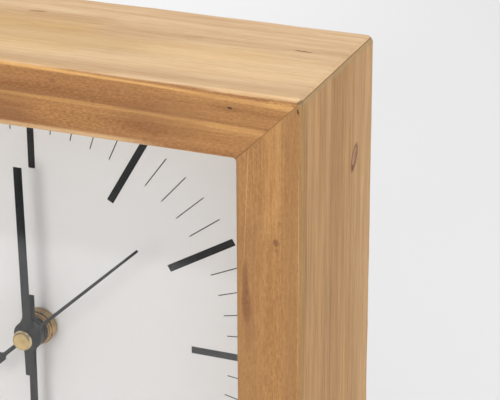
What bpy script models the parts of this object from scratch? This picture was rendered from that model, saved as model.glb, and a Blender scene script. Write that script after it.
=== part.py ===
# Square wooden table clock: a mitred box of solid boards, a deep-set printed dial
# behind glass, three hands on a hub, and a battery quartz movement at the back.
# Lengths are in metres. X is to the right, Y runs from the front to the back, Z is up,
# and the origin is at the middle of the case's underside.

import bpy
import bmesh
from math import atan2, cos, hypot, pi, radians, sin, sqrt

# Case
CASE_WIDTH = 0.200
CASE_HEIGHT = 0.200
CASE_DEPTH = 0.060
BOARD_THICKNESS = 0.0205
OUTER_EDGE_RADIUS = 0.0016
INNER_EDGE_RADIUS = 0.0013
MITRE_GAP = 0.0003
GROOVE_DEPTH = 0.004
BLANK_ALLOWANCE = 0.001

# Gap between two pieces that touch, radial gap of a pressed fit, and the overrun of a cut
SEAT_GAP = 0.0003
PRESS_GAP = 0.00015
CUT_OVERRUN = 0.001

# Glass, card and dial board
GLASS_SETBACK = 0.006
GLASS_THICKNESS = 0.002
GLASS_EDGE_BEVEL = 0.0003
DIAL_SETBACK = 0.030
CARD_THICKNESS = 0.0005
DIAL_BOARD_THICKNESS = 0.003
INK_THICKNESS = 0.00015
MARK_OUTER_RADIUS = 0.0779
HOUR_MARK_INNER_RADIUS = 0.0533
HOUR_MARK_WIDTH = 0.0021
MINUTE_MARK_INNER_RADIUS = 0.0656
MINUTE_MARK_WIDTH = 0.00035
HOUR_COUNT = 12
MINUTE_COUNT = 60

# Bush, nut and rubber washer
BUSH_RADIUS = 0.0040
BUSH_BORE_RADIUS = 0.0025
BUSH_REACH = 0.0057
BUSH_FLANGE_RADIUS = 0.0050
BUSH_FLANGE_THICKNESS = 0.0006
NUT_BASE_RADIUS = 0.0058
NUT_STEP_RADIUS = 0.0055
NUT_RING_RADIUS = 0.0051
NUT_BASE_HEIGHT = 0.0031
NUT_STEP_HEIGHT = 0.0046
NUT_HEIGHT = 0.0049
RUBBER_THICKNESS = 0.0010
RUBBER_RADIUS = 0.0095

# Hands: planes are heights of their backs above the dial
HAND_THICKNESS = 0.0004
HOUR_HAND_HEIGHT = 0.0066
HOUR_HAND_LENGTH = 0.0400
HOUR_HAND_TAIL = 0.0131
HOUR_HAND_WIDTH = 0.0026
HOUR_HAND_TURN = radians(180.5)
MINUTE_HAND_HEIGHT = 0.0095
MINUTE_HAND_LENGTH = 0.0573
MINUTE_HAND_TAIL = 0.0140
MINUTE_HAND_WIDTH = 0.0028
MINUTE_HAND_TURN = radians(-0.8)
BOSS_RADIUS = 0.0048
BOSS_SHOULDER_REACH = 0.0068
HOUR_COLLAR_RADIUS = 0.0032
HOUR_COLLAR_LENGTH = 0.0006
MINUTE_COLLAR_LENGTH = 0.0020
SECOND_HAND_HEIGHT = 0.0123
SECOND_HAND_THICKNESS = 0.0003
SECOND_HAND_LENGTH = 0.0549
SECOND_HAND_TIP_WIDTH = 0.0006
SECOND_HAND_ROOT_WIDTH = 0.0011
SECOND_HAND_TAIL_WIDTH = 0.0013
SECOND_PADDLE_START = 0.0094
SECOND_PADDLE_END = 0.0235
SECOND_PADDLE_WIDTH = 0.0030
SECOND_HAND_TURN = radians(47.2)
SECOND_HUB_RADIUS = 0.0014
SECOND_HUB_LENGTH = 0.0014
CAP_RADIUS = 0.00325
CAP_THICKNESS = 0.0014
CAP_EDGE_RADIUS = 0.0003

# Shafts that carry the hands
HOUR_PIPE_RADIUS = 0.0024
HOUR_PIPE_BORE = 0.0016
MINUTE_PIPE_RADIUS = 0.0015
MINUTE_PIPE_BORE = 0.00075
SECOND_SHAFT_RADIUS = 0.0005
PIPE_PROUD = 0.0002

# Movement shells
MOVEMENT_WIDTH = 0.056
MOVEMENT_HEIGHT = 0.056
MOVEMENT_DEPTH = 0.0162
MOVEMENT_CORNER_RADIUS = 0.0025
SHELL_WALL = 0.0012
FRONT_SHELL_DEPTH = 0.0066
KNOB_HOLE_CLEARANCE = 0.0003

# Battery bay: the height kept free for the wheels below the hub, and the partition under it
TRAIN_DROP = 0.0107
BAY_PARTITION = 0.0010
SPRING_SPACE = 0.0021

# Battery and its contacts
BATTERY_NUB_LENGTH = 0.0010
BATTERY_NUB_RADIUS = 0.00265
BATTERY_EDGE_RADIUS = 0.0005
CONTACT_THICKNESS = 0.0004
CONTACT_WIDTH = 0.0080
CONTACT_HEIGHT = 0.0100
CONTACT_SPRING_DEPTH = 0.0012
CONTACT_BOW_HALF_HEIGHT = 0.0025

# Gear train: tooth counts, modules and proportions
SECOND_WHEEL_TEETH = 40
SECOND_PINION_TEETH = 6
THIRD_WHEEL_TEETH = 45
THIRD_PINION_TEETH = 6
CENTER_WHEEL_TEETH = 48
CANNON_PINION_TEETH = 10
MINUTE_WHEEL_TEETH = 30
MINUTE_PINION_TEETH = 8
HOUR_WHEEL_TEETH = 32
KNOB_PINION_TEETH = 12
FIFTH_WHEEL_TEETH = 36
FIFTH_PINION_TEETH = 8
ROTOR_PINION_TEETH = 6
THIRD_MODULE = 0.00036
MOTION_MODULE = 0.00040
FIFTH_MODULE = 0.00036
ROTOR_MODULE = 0.00030
ADDENDUM_SHARE = 0.80
DEDENDUM_SHARE = 1.10
TOOTH_ROOT_SHARE = 0.56
TOOTH_TIP_SHARE = 0.26
WHEEL_THICKNESS = 0.0007
LEVEL_GAP = 0.0005
PINION_OVERHANG = 0.00012
ARBOR_RADIUS = 0.0005
PIVOT_RADIUS = 0.00035
PIVOT_LENGTH = 0.0005
PIVOT_CLEARANCE = 0.00008
POST_WALL = 0.0005
MINUTE_BORE_CLEARANCE = 0.0001

# Directions of the arbors, measured from +X towards +Z, seen from the front
THIRD_DIRECTION = radians(185.0)
MINUTE_DIRECTION = radians(120.0)
KNOB_DIRECTION = radians(100.0)
FIFTH_DIRECTION = radians(25.0)
ROTOR_DIRECTION = radians(10.0)

# Plates and the pillars that carry them
PLATE_THICKNESS = 0.0006
BRIDGE_THICKNESS = 0.0008
PILLAR_RADIUS = 0.0013
PILLAR_NECK_RADIUS = 0.0010
PILLAR_TIP_RADIUS = 0.0006
PLATE_MARGIN = 0.0016
PINION_HOLE_CLEARANCE = 0.0004

# Step motor
MAGNET_RADIUS = 0.0029
MAGNET_HEIGHT = 0.0020
MAGNET_GAP = 0.0004
STATOR_THICKNESS = 0.0008
STATOR_ARM_WIDTH = 0.0030
STATOR_SLOT_WIDTH = 0.0020
STATOR_RIM = 0.0007
COIL_LENGTH = 0.0190
COIL_RADIUS = 0.0030
COIL_TOP_CLEARANCE = 0.0005
COIL_SIDE_CLEARANCE = 0.0012
BOBBIN_FLANGE_RADIUS = 0.0034
BOBBIN_FLANGE_THICKNESS = 0.0008
BOBBIN_CORE_RADIUS = 0.0019
CORE_WIDTH = 0.0022
CORE_THICKNESS = 0.0008
CORE_END = 0.0026

# Electronics
CIRCUIT_WIDTH = 0.0230
CIRCUIT_HEIGHT = 0.0120
CIRCUIT_THICKNESS = 0.0008
CRYSTAL_RADIUS = 0.0007
CRYSTAL_LENGTH = 0.0060
CHIP_RADIUS = 0.0024
CHIP_HEIGHT = 0.0009
CRYSTAL_SIDE_MARGIN = 0.0029
CRYSTAL_LOWER_MARGIN = 0.0030
CHIP_SIDE_MARGIN = 0.0057

# Setting knob
KNOB_SHAFT_RADIUS = 0.0015
KNOB_RADIUS = 0.0036
KNOB_HEIGHT = 0.0030
KNOB_RIBS = 18
KNOB_RIB_DEPTH = 0.0003
KNOB_PIVOT_RADIUS = 0.0008

# The cell fills the bay: it is an AA cell in a movement of the standard height and width
BATTERY_RADIUS = (MOVEMENT_HEIGHT / 2 - TRAIN_DROP - BAY_PARTITION - SHELL_WALL - 2 * SEAT_GAP) / 2
BATTERY_BODY_LENGTH = (MOVEMENT_WIDTH - 2 * SHELL_WALL - SPRING_SPACE - 2 * SEAT_GAP - CONTACT_THICKNESS
                       - BATTERY_NUB_LENGTH)

# The coil lies along the top of the movement, near its right wall
COIL_HEIGHT = MOVEMENT_HEIGHT / 2 - SHELL_WALL - COIL_TOP_CLEARANCE - BOBBIN_FLANGE_RADIUS
COIL_OFFSET = MOVEMENT_WIDTH / 2 - SHELL_WALL - COIL_SIDE_CLEARANCE - CORE_END - COIL_LENGTH / 2

# Places along Y, from the front of the case to its back
FRONT_Y = -CASE_DEPTH / 2
HUB_Z = CASE_HEIGHT / 2
DIAL_Y = FRONT_Y + DIAL_SETBACK
GLASS_Y = FRONT_Y + GLASS_SETBACK
BOARD_Y = DIAL_Y + CARD_THICKNESS + SEAT_GAP
RUBBER_Y = BOARD_Y + DIAL_BOARD_THICKNESS + SEAT_GAP
MOVEMENT_Y = RUBBER_Y + RUBBER_THICKNESS + SEAT_GAP
MOVEMENT_FLOOR_Y = MOVEMENT_Y + SHELL_WALL
FRONT_SHELL_END_Y = MOVEMENT_Y + FRONT_SHELL_DEPTH
REAR_SHELL_Y = FRONT_SHELL_END_Y + SEAT_GAP
MOVEMENT_BACK_Y = MOVEMENT_Y + MOVEMENT_DEPTH
REAR_WALL_Y = MOVEMENT_BACK_Y - SHELL_WALL
BUSH_FLANGE_Y = MOVEMENT_FLOOR_Y + SEAT_GAP
LEVEL_STEP = WHEEL_THICKNESS + LEVEL_GAP
HOUR_LEVEL_Y = BUSH_FLANGE_Y + BUSH_FLANGE_THICKNESS + LEVEL_GAP
MINUTE_LEVEL_Y = HOUR_LEVEL_Y + LEVEL_STEP
CENTER_LEVEL_Y = MINUTE_LEVEL_Y + LEVEL_STEP
PLATE_Y = CENTER_LEVEL_Y + LEVEL_STEP
THIRD_LEVEL_Y = PLATE_Y + PLATE_THICKNESS + LEVEL_GAP
SECOND_LEVEL_Y = THIRD_LEVEL_Y + LEVEL_STEP
FIFTH_LEVEL_Y = SECOND_LEVEL_Y + LEVEL_STEP
BRIDGE_Y = FIFTH_LEVEL_Y + LEVEL_STEP
STATOR_Y = PLATE_Y + PLATE_THICKNESS + SEAT_GAP
CORE_Y = STATOR_Y + STATOR_THICKNESS + SEAT_GAP
COIL_Y = CORE_Y + CORE_THICKNESS / 2
CIRCUIT_Y = COIL_Y + BOBBIN_FLANGE_RADIUS + SEAT_GAP


def polar(distance, direction):
    return (distance * cos(direction), distance * sin(direction))


def arbor_from(start, distance, direction):
    step = polar(distance, direction)
    return (start[0] + step[0], start[1] + step[1])


# Places of the arbors in the plane of the dial, as (x, z) from the hub
HUB = (0.0, 0.0)
THIRD_DISTANCE = THIRD_MODULE * (SECOND_PINION_TEETH + THIRD_WHEEL_TEETH) / 2
CENTER_MODULE = 2 * THIRD_DISTANCE / (THIRD_PINION_TEETH + CENTER_WHEEL_TEETH)
MINUTE_DISTANCE = MOTION_MODULE * (CANNON_PINION_TEETH + MINUTE_WHEEL_TEETH) / 2
KNOB_DISTANCE = MOTION_MODULE * (KNOB_PINION_TEETH + MINUTE_WHEEL_TEETH) / 2
FIFTH_DISTANCE = FIFTH_MODULE * (FIFTH_PINION_TEETH + SECOND_WHEEL_TEETH) / 2
ROTOR_DISTANCE = ROTOR_MODULE * (ROTOR_PINION_TEETH + FIFTH_WHEEL_TEETH) / 2
THIRD_ARBOR = arbor_from(HUB, THIRD_DISTANCE, THIRD_DIRECTION)
MINUTE_ARBOR = arbor_from(HUB, MINUTE_DISTANCE, MINUTE_DIRECTION)
KNOB_ARBOR = arbor_from(MINUTE_ARBOR, KNOB_DISTANCE, KNOB_DIRECTION)
FIFTH_ARBOR = arbor_from(HUB, FIFTH_DISTANCE, FIFTH_DIRECTION)
ROTOR_ARBOR = arbor_from(FIFTH_ARBOR, ROTOR_DISTANCE, ROTOR_DIRECTION)

# Numbers of sides of round pieces, steps of arcs, and the distance that joins their seams
FINE_SIDES = 32
ROUND_SIDES = 24
SMALL_SIDES = 12
CORNER_STEPS = 3
BOSS_STEPS = 12
MERGE_DISTANCE = 0.000003


def clear_scene():
    for item in list(bpy.data.objects):
        bpy.data.objects.remove(item, do_unlink=True)


def make_material(name, colour, roughness, metallic=0.0, alpha=1.0):
    material = bpy.data.materials.new(name)
    material.use_nodes = True
    shader = material.node_tree.nodes["Principled BSDF"]
    shader.inputs["Base Color"].default_value = (*colour, 1.0)
    shader.inputs["Roughness"].default_value = roughness
    shader.inputs["Metallic"].default_value = metallic
    shader.inputs["Alpha"].default_value = alpha
    return material


def finish_mesh(work, name):
    work.normal_update()
    bmesh.ops.recalc_face_normals(work, faces=work.faces)
    mesh = bpy.data.meshes.new(name)
    work.to_mesh(mesh)
    work.free()
    return mesh


def add_object(name, mesh, material=None, place=HUB, smooth=False):
    """Places a mesh with its origin at (x, z) from the hub."""
    item = bpy.data.objects.new(name, mesh)
    item.location = (place[0], 0.0, HUB_Z + place[1])
    bpy.context.collection.objects.link(item)
    if material:
        mesh.materials.append(material)
    if smooth:
        mesh.shade_smooth()
        mesh.set_sharp_from_angle(angle=radians(35.0))
    return item


def prism_mesh(name, outline, y_front, y_back):
    """Extrudes a closed (x, z) outline along Y."""
    work = bmesh.new()
    ring = [work.verts.new((x, y_front, z)) for x, z in outline]
    face = work.faces.new(ring)
    grown = bmesh.ops.extrude_face_region(work, geom=[face])
    moved = [part for part in grown["geom"] if isinstance(part, bmesh.types.BMVert)]
    bmesh.ops.translate(work, verts=moved, vec=(0.0, y_back - y_front, 0.0))
    return finish_mesh(work, name)


def turned_mesh(name, profile, sides=ROUND_SIDES):
    """Spins a closed (radius, y) profile round the Y axis."""
    work = bmesh.new()
    points = [work.verts.new((radius, y, 0.0)) for radius, y in profile]
    pairs = list(zip(points, points[1:]))
    if profile[0][0] > 0 or profile[-1][0] > 0:
        pairs.append((points[-1], points[0]))
    edges = [work.edges.new(pair) for pair in pairs]
    bmesh.ops.spin(work, geom=points + edges, axis=(0, 1, 0), cent=(0, 0, 0),
                   steps=sides, angle=2 * pi, use_merge=True)
    bmesh.ops.remove_doubles(work, verts=work.verts, dist=MERGE_DISTANCE)
    return finish_mesh(work, name)


def join_meshes(name, meshes):
    """Puts separate closed shells into one mesh."""
    work = bmesh.new()
    for mesh in meshes:
        work.from_mesh(mesh)
    return finish_mesh(work, name)


def moved_mesh(mesh, x=0.0, z=0.0, turn=0.0):
    """Turns a mesh clockwise seen from the front, then shifts it in the dial's plane."""
    work = bmesh.new()
    work.from_mesh(mesh)
    for vertex in work.verts:
        old_x, old_z = vertex.co.x, vertex.co.z
        vertex.co.x = old_x * cos(turn) + old_z * sin(turn) + x
        vertex.co.z = old_z * cos(turn) - old_x * sin(turn) + z
    return finish_mesh(work, mesh.name)


def combine(item, mesh, operation):
    """Adds or cuts a mesh given in the item's own frame."""
    tool = bpy.data.objects.new(item.name + "_tool", mesh)
    tool.parent = item
    tool.hide_render = True
    tool.display_type = "WIRE"
    bpy.context.collection.objects.link(tool)
    boolean = item.modifiers.new(operation.lower(), "BOOLEAN")
    boolean.operation = operation
    boolean.object = tool
    boolean.solver = "EXACT"


def rectangle(x_low, x_high, z_low, z_high):
    return [(x_low, z_low), (x_high, z_low), (x_high, z_high), (x_low, z_high)]


def rounded_rectangle(x_low, x_high, z_low, z_high, radius):
    outline = []
    corners = ((x_high - radius, z_high - radius, 0.0), (x_low + radius, z_high - radius, pi / 2),
               (x_low + radius, z_low + radius, pi), (x_high - radius, z_low + radius, 3 * pi / 2))
    for x, z, start in corners:
        for step in range(CORNER_STEPS + 1):
            angle = start + step / CORNER_STEPS * pi / 2
            outline.append((x + radius * cos(angle), z + radius * sin(angle)))
    return outline


def circle(radius, sides=ROUND_SIDES, x=0.0, z=0.0):
    turns = [2 * pi * step / sides for step in range(sides)]
    return [(x + radius * cos(turn), z + radius * sin(turn)) for turn in turns]


def rod(name, radius, y_front, y_back, sides=SMALL_SIDES, place=HUB):
    return prism_mesh(name, circle(radius, sides, *place), y_front, y_back)


def gear_outline(teeth, module, turn=0.0):
    """Trapezoid teeth; tooth 0 stands at the angle turn."""
    pitch_radius = teeth * module / 2
    tip = pitch_radius + ADDENDUM_SHARE * module
    root = pitch_radius - DEDENDUM_SHARE * module
    step = 2 * pi / teeth
    corners = ((root, -TOOTH_ROOT_SHARE / 2), (tip, -TOOTH_TIP_SHARE / 2),
               (tip, TOOTH_TIP_SHARE / 2), (root, TOOTH_ROOT_SHARE / 2))
    outline = []
    for tooth in range(teeth):
        for radius, share in corners:
            outline.append(polar(radius, turn + (tooth + share) * step))
    return outline


def tip_radius(teeth, module):
    return teeth * module / 2 + ADDENDUM_SHARE * module


def gap_turn(teeth, direction):
    """Turn that puts a gap between two teeth at the direction."""
    return direction + pi / teeth


def wheel_mesh(name, teeth, module, level, turn):
    return prism_mesh(name, gear_outline(teeth, module, turn), level, level + WHEEL_THICKNESS)


def pinion_mesh(name, teeth, module, level, turn):
    return prism_mesh(name, gear_outline(teeth, module, turn), level - PINION_OVERHANG,
                      level + WHEEL_THICKNESS + PINION_OVERHANG)


def arbor_mesh(name, front, back, radius=ARBOR_RADIUS, pivot=PIVOT_RADIUS):
    """A turned arbor between two shoulders, with a pivot beyond each."""
    profile = [(0.0, front - PIVOT_LENGTH), (pivot, front - PIVOT_LENGTH), (pivot, front),
               (radius, front), (radius, back), (pivot, back),
               (pivot, back + PIVOT_LENGTH), (0.0, back + PIVOT_LENGTH)]
    return turned_mesh(name, profile, SMALL_SIDES)


# Case

def rounded_box_mesh(name, width, depth, height, radius):
    work = bmesh.new()
    bmesh.ops.create_cube(work, size=1.0)
    bmesh.ops.scale(work, verts=work.verts, vec=(width, depth, height))
    bmesh.ops.bevel(work, geom=list(work.edges), offset=radius, segments=CORNER_STEPS,
                    affect="EDGES")
    return finish_mesh(work, name)


def board_profile():
    """Section of a board as (y, inward distance from the case's outer face)."""
    outer = -BLANK_ALLOWANCE
    front = FRONT_Y - BLANK_ALLOWANCE
    back = -FRONT_Y + BLANK_ALLOWANCE
    profile = [(back, outer), (front, outer)]
    for start_y, sign in ((FRONT_Y, 1), (-FRONT_Y, -1)):
        arc = []
        for step in range(CORNER_STEPS + 1):
            angle = step / CORNER_STEPS * pi / 2
            arc.append((start_y + sign * INNER_EDGE_RADIUS * (1 - sin(angle)),
                        BOARD_THICKNESS - INNER_EDGE_RADIUS * (1 - cos(angle))))
        if sign > 0:
            profile.append((front, arc[-1][1]))
            profile.extend(reversed(arc))
            grooves = ((GLASS_Y, GLASS_THICKNESS), (DIAL_Y, BOARD_Y - DIAL_Y + DIAL_BOARD_THICKNESS))
            for groove_y, held in grooves:
                low = groove_y - SEAT_GAP
                high = groove_y + held + SEAT_GAP
                floor = BOARD_THICKNESS - GROOVE_DEPTH
                profile.extend([(low, BOARD_THICKNESS), (low, floor), (high, floor),
                                (high, BOARD_THICKNESS)])
        else:
            profile.extend(arc)
            profile.append((back, arc[-1][1]))
    return profile


def board_mesh(name, length):
    """A mitred blank lying along X with its outer face up, at height zero."""
    work = bmesh.new()
    profile = board_profile()
    rings = []
    for side in (-1, 1):
        ring = []
        for y, inward in profile:
            half = length / 2 - inward - MITRE_GAP / sqrt(2)
            ring.append(work.verts.new((side * half, y, -inward)))
        work.faces.new(ring)
        rings.append(ring)
    count = len(profile)
    for index in range(count):
        following = (index + 1) % count
        work.faces.new((rings[0][index], rings[0][following], rings[1][following], rings[1][index]))
    return finish_mesh(work, name)


def make_boards(material):
    envelope = rounded_box_mesh("case_envelope", CASE_WIDTH, CASE_DEPTH, CASE_HEIGHT, OUTER_EDGE_RADIUS)
    sides = (("top_board", CASE_WIDTH, CASE_HEIGHT / 2, 0.0),
             ("right_board", CASE_HEIGHT, CASE_WIDTH / 2, pi / 2),
             ("bottom_board", CASE_WIDTH, CASE_HEIGHT / 2, pi),
             ("left_board", CASE_HEIGHT, CASE_WIDTH / 2, -pi / 2))
    for name, length, distance, turn in sides:
        upright = moved_mesh(board_mesh(name, length), z=distance)
        board = add_object(name, moved_mesh(upright, turn=turn), material)
        combine(board, envelope.copy(), "INTERSECT")


def sheet_size():
    half_width = CASE_WIDTH / 2 - BOARD_THICKNESS + GROOVE_DEPTH - SEAT_GAP
    half_height = CASE_HEIGHT / 2 - BOARD_THICKNESS + GROOVE_DEPTH - SEAT_GAP
    return half_width, half_height


def make_sheets(glass, card, fibreboard):
    half_width, half_height = sheet_size()
    outline = rectangle(-half_width, half_width, -half_height, half_height)
    pane = prism_mesh("glass_pane", outline, GLASS_Y, GLASS_Y + GLASS_THICKNESS)
    work = bmesh.new()
    work.from_mesh(pane)
    bmesh.ops.bevel(work, geom=list(work.edges), offset=GLASS_EDGE_BEVEL, segments=1, affect="EDGES")
    add_object("glass_pane", finish_mesh(work, "glass_pane"), glass)
    face = add_object("dial_face", prism_mesh("dial_face", outline, DIAL_Y, DIAL_Y + CARD_THICKNESS), card)
    combine(face, print_mesh(), "UNION")
    backing = prism_mesh("dial_board", outline, BOARD_Y, BOARD_Y + DIAL_BOARD_THICKNESS)
    board = add_object("dial_board", backing, fibreboard)
    bore = rod("bore", BUSH_RADIUS + SEAT_GAP, DIAL_Y - CUT_OVERRUN,
               BOARD_Y + DIAL_BOARD_THICKNESS + CUT_OVERRUN, ROUND_SIDES)
    combine(face, bore, "DIFFERENCE")
    combine(board, bore.copy(), "DIFFERENCE")


def print_mesh():
    """The raised ink of the dial: hour bars and minute lines that point to the hub."""
    front = DIAL_Y - INK_THICKNESS
    back = DIAL_Y + CARD_THICKNESS / 2
    per_hour = MINUTE_COUNT // HOUR_COUNT
    kinds = ((HOUR_MARK_INNER_RADIUS, HOUR_MARK_WIDTH), (MINUTE_MARK_INNER_RADIUS, MINUTE_MARK_WIDTH))
    bars = []
    for tick in range(MINUTE_COUNT):
        inner, width = kinds[0] if tick % per_hour == 0 else kinds[1]
        outline = rectangle(-width / 2, width / 2, inner, MARK_OUTER_RADIUS)
        bar = prism_mesh("print", outline, front, back)
        bars.append(moved_mesh(bar, turn=2 * pi * tick / MINUTE_COUNT))
    return join_meshes("print", bars)


# Fixing at the dial's centre

def make_dial_fixing(brass, rubber):
    back = BUSH_FLANGE_Y + BUSH_FLANGE_THICKNESS
    front = DIAL_Y - BUSH_REACH
    profile = [(BUSH_BORE_RADIUS, front), (BUSH_RADIUS, front), (BUSH_RADIUS, BUSH_FLANGE_Y),
               (BUSH_FLANGE_RADIUS, BUSH_FLANGE_Y), (BUSH_FLANGE_RADIUS, back), (BUSH_BORE_RADIUS, back)]
    add_object("threaded_bush", turned_mesh("threaded_bush", profile), brass, smooth=True)
    seat = DIAL_Y - SEAT_GAP
    hole = BUSH_RADIUS + PRESS_GAP
    chamfer = NUT_STEP_RADIUS - NUT_RING_RADIUS
    profile = [(hole, seat), (NUT_BASE_RADIUS, seat), (NUT_BASE_RADIUS, seat - NUT_BASE_HEIGHT),
               (NUT_STEP_RADIUS, seat - NUT_BASE_HEIGHT),
               (NUT_STEP_RADIUS, seat - NUT_STEP_HEIGHT + chamfer),
               (NUT_RING_RADIUS, seat - NUT_STEP_HEIGHT), (NUT_RING_RADIUS, seat - NUT_HEIGHT),
               (hole, seat - NUT_HEIGHT)]
    add_object("dial_nut", turned_mesh("dial_nut", profile, FINE_SIDES), brass, smooth=True)
    hole = BUSH_RADIUS + SEAT_GAP
    profile = [(hole, RUBBER_Y), (RUBBER_RADIUS, RUBBER_Y), (RUBBER_RADIUS, RUBBER_Y + RUBBER_THICKNESS),
               (hole, RUBBER_Y + RUBBER_THICKNESS)]
    add_object("rubber_washer", turned_mesh("rubber_washer", profile), rubber, smooth=True)


# Hands

def bar_hand_outline(length, tail, width):
    """A square-ended bar whose edges flare into a round boss."""
    half = width / 2
    start = angle_of_sine(half, BOSS_RADIUS)
    flare = atan2(half, BOSS_SHOULDER_REACH)
    reach = hypot(half, BOSS_SHOULDER_REACH)
    tangent = flare + angle_of_cosine(BOSS_RADIUS, reach)
    tangent = max(tangent, start)
    sweep = [tangent + (pi - 2 * tangent) * step / BOSS_STEPS for step in range(BOSS_STEPS + 1)]
    right = [(BOSS_RADIUS * sin(angle), BOSS_RADIUS * cos(angle)) for angle in sweep]
    outline = [(half, length), (half, BOSS_SHOULDER_REACH)] + right
    outline += [(half, -BOSS_SHOULDER_REACH), (half, -tail), (-half, -tail), (-half, -BOSS_SHOULDER_REACH)]
    outline += [(-x, z) for x, z in reversed(right)]
    outline += [(-half, BOSS_SHOULDER_REACH), (-half, length)]
    return outline


def angle_of_sine(part, whole):
    return atan2(part, sqrt(whole * whole - part * part))


def angle_of_cosine(part, whole):
    return atan2(sqrt(whole * whole - part * part), part)


def make_bar_hand(name, length, tail, width, height, collar, collar_radius, bore, turn, material):
    back = DIAL_Y - height
    outline = bar_hand_outline(length, tail, width)
    plate = moved_mesh(prism_mesh(name, outline, back - HAND_THICKNESS, back), turn=turn)
    hand = add_object(name, plate, material)
    front = back - HAND_THICKNESS
    combine(hand, rod(name, collar_radius, back - HAND_THICKNESS / 2, back + collar, ROUND_SIDES), "UNION")
    hole = rod(name, bore + PRESS_GAP, front - CUT_OVERRUN, back + collar + CUT_OVERRUN, ROUND_SIDES)
    combine(hand, hole, "DIFFERENCE")


def second_hand_outline():
    tip = SECOND_HAND_TIP_WIDTH / 2
    root = SECOND_HAND_ROOT_WIDTH / 2
    tail = SECOND_HAND_TAIL_WIDTH / 2
    paddle = SECOND_PADDLE_WIDTH / 2
    shoulder = SECOND_PADDLE_START + paddle - tail
    right = [(tip, SECOND_HAND_LENGTH), (root, SECOND_HUB_RADIUS), (tail, -SECOND_HUB_RADIUS),
             (tail, -SECOND_PADDLE_START), (paddle, -shoulder), (paddle, -SECOND_PADDLE_END)]
    return right + [(-x, z) for x, z in reversed(right)]


def make_second_hand(black, brass):
    back = DIAL_Y - SECOND_HAND_HEIGHT
    front = back - SECOND_HAND_THICKNESS
    plate = moved_mesh(prism_mesh("second_hand", second_hand_outline(), front, back), turn=SECOND_HAND_TURN)
    hand = add_object("second_hand", plate, black)
    hub = rod("second_hand", SECOND_HUB_RADIUS, back - SECOND_HAND_THICKNESS / 2,
              back + SECOND_HUB_LENGTH, ROUND_SIDES)
    combine(hand, hub, "UNION")
    hole = rod("second_hand", SECOND_SHAFT_RADIUS + PRESS_GAP, back, back + SECOND_HUB_LENGTH + CUT_OVERRUN)
    combine(hand, hole, "DIFFERENCE")
    cap_back = front - SEAT_GAP
    cap_front = cap_back - CAP_THICKNESS
    angles = [step / CORNER_STEPS * pi / 2 for step in range(CORNER_STEPS + 1)]
    rim = [(CAP_RADIUS - CAP_EDGE_RADIUS * (1 - sin(angle)), cap_front + CAP_EDGE_RADIUS * (1 - cos(angle)))
           for angle in angles]
    profile = [(0.0, cap_front)] + rim + [(CAP_RADIUS, cap_back), (0.0, cap_back)]
    add_object("second_hand_cap", turned_mesh("second_hand_cap", profile, FINE_SIDES), brass, smooth=True)


def make_hands(black, brass):
    make_bar_hand("hour_hand", HOUR_HAND_LENGTH, HOUR_HAND_TAIL, HOUR_HAND_WIDTH, HOUR_HAND_HEIGHT,
                  HOUR_COLLAR_LENGTH, HOUR_COLLAR_RADIUS, HOUR_PIPE_RADIUS, HOUR_HAND_TURN, black)
    make_bar_hand("minute_hand", MINUTE_HAND_LENGTH, MINUTE_HAND_TAIL, MINUTE_HAND_WIDTH,
                  MINUTE_HAND_HEIGHT, MINUTE_COLLAR_LENGTH, BOSS_RADIUS, MINUTE_PIPE_RADIUS,
                  MINUTE_HAND_TURN, black)
    make_second_hand(black, brass)


# Motion work: it turns the hour hand at a twelfth of the minute hand's speed

def make_motion_work(white, grey):
    hour_end = DIAL_Y - HOUR_HAND_HEIGHT - HAND_THICKNESS - PIPE_PROUD
    turn = gap_turn(HOUR_WHEEL_TEETH, MINUTE_DIRECTION)
    wheel = wheel_mesh("hour_wheel", HOUR_WHEEL_TEETH, MOTION_MODULE, HOUR_LEVEL_Y, turn)
    hour = add_object("hour_wheel", wheel, white)
    back = HOUR_LEVEL_Y + WHEEL_THICKNESS
    pipe = rod("hour_wheel", HOUR_PIPE_RADIUS, hour_end, back - WHEEL_THICKNESS / 2, ROUND_SIDES)
    combine(hour, pipe, "UNION")
    bore = rod("hour_wheel", HOUR_PIPE_BORE, hour_end - CUT_OVERRUN, back + CUT_OVERRUN, ROUND_SIDES)
    combine(hour, bore, "DIFFERENCE")

    minute_end = DIAL_Y - MINUTE_HAND_HEIGHT - HAND_THICKNESS - PIPE_PROUD
    back = CENTER_LEVEL_Y + WHEEL_THICKNESS + PINION_OVERHANG
    turn = gap_turn(CANNON_PINION_TEETH, MINUTE_DIRECTION)
    pinion = pinion_mesh("cannon_pinion", CANNON_PINION_TEETH, MOTION_MODULE, MINUTE_LEVEL_Y, turn)
    cannon = add_object("cannon_pinion", pinion, grey)
    combine(cannon, rod("cannon_pinion", MINUTE_PIPE_RADIUS, minute_end, back, ROUND_SIDES), "UNION")
    bore = rod("cannon_pinion", MINUTE_PIPE_BORE, minute_end - CUT_OVERRUN, back + CUT_OVERRUN, SMALL_SIDES)
    combine(cannon, bore, "DIFFERENCE")

    toward_hub = MINUTE_DIRECTION + pi
    wheel = wheel_mesh("minute_wheel", MINUTE_WHEEL_TEETH, MOTION_MODULE, MINUTE_LEVEL_Y, toward_hub)
    minute = add_object("minute_wheel", wheel, white, MINUTE_ARBOR)
    outline = gear_outline(MINUTE_PINION_TEETH, MOTION_MODULE, toward_hub)
    lower = prism_mesh("minute_wheel", outline, HOUR_LEVEL_Y - PINION_OVERHANG,
                       MINUTE_LEVEL_Y + WHEEL_THICKNESS / 2)
    combine(minute, lower, "UNION")
    bore = rod("minute_wheel", minute_bore_radius(), HOUR_LEVEL_Y - CUT_OVERRUN,
               MINUTE_LEVEL_Y + WHEEL_THICKNESS + CUT_OVERRUN)
    combine(minute, bore, "DIFFERENCE")


def minute_bore_radius():
    return (MINUTE_PINION_TEETH / 2 - DEDENDUM_SHARE) * MOTION_MODULE - MOTION_MODULE * ADDENDUM_SHARE


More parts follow.
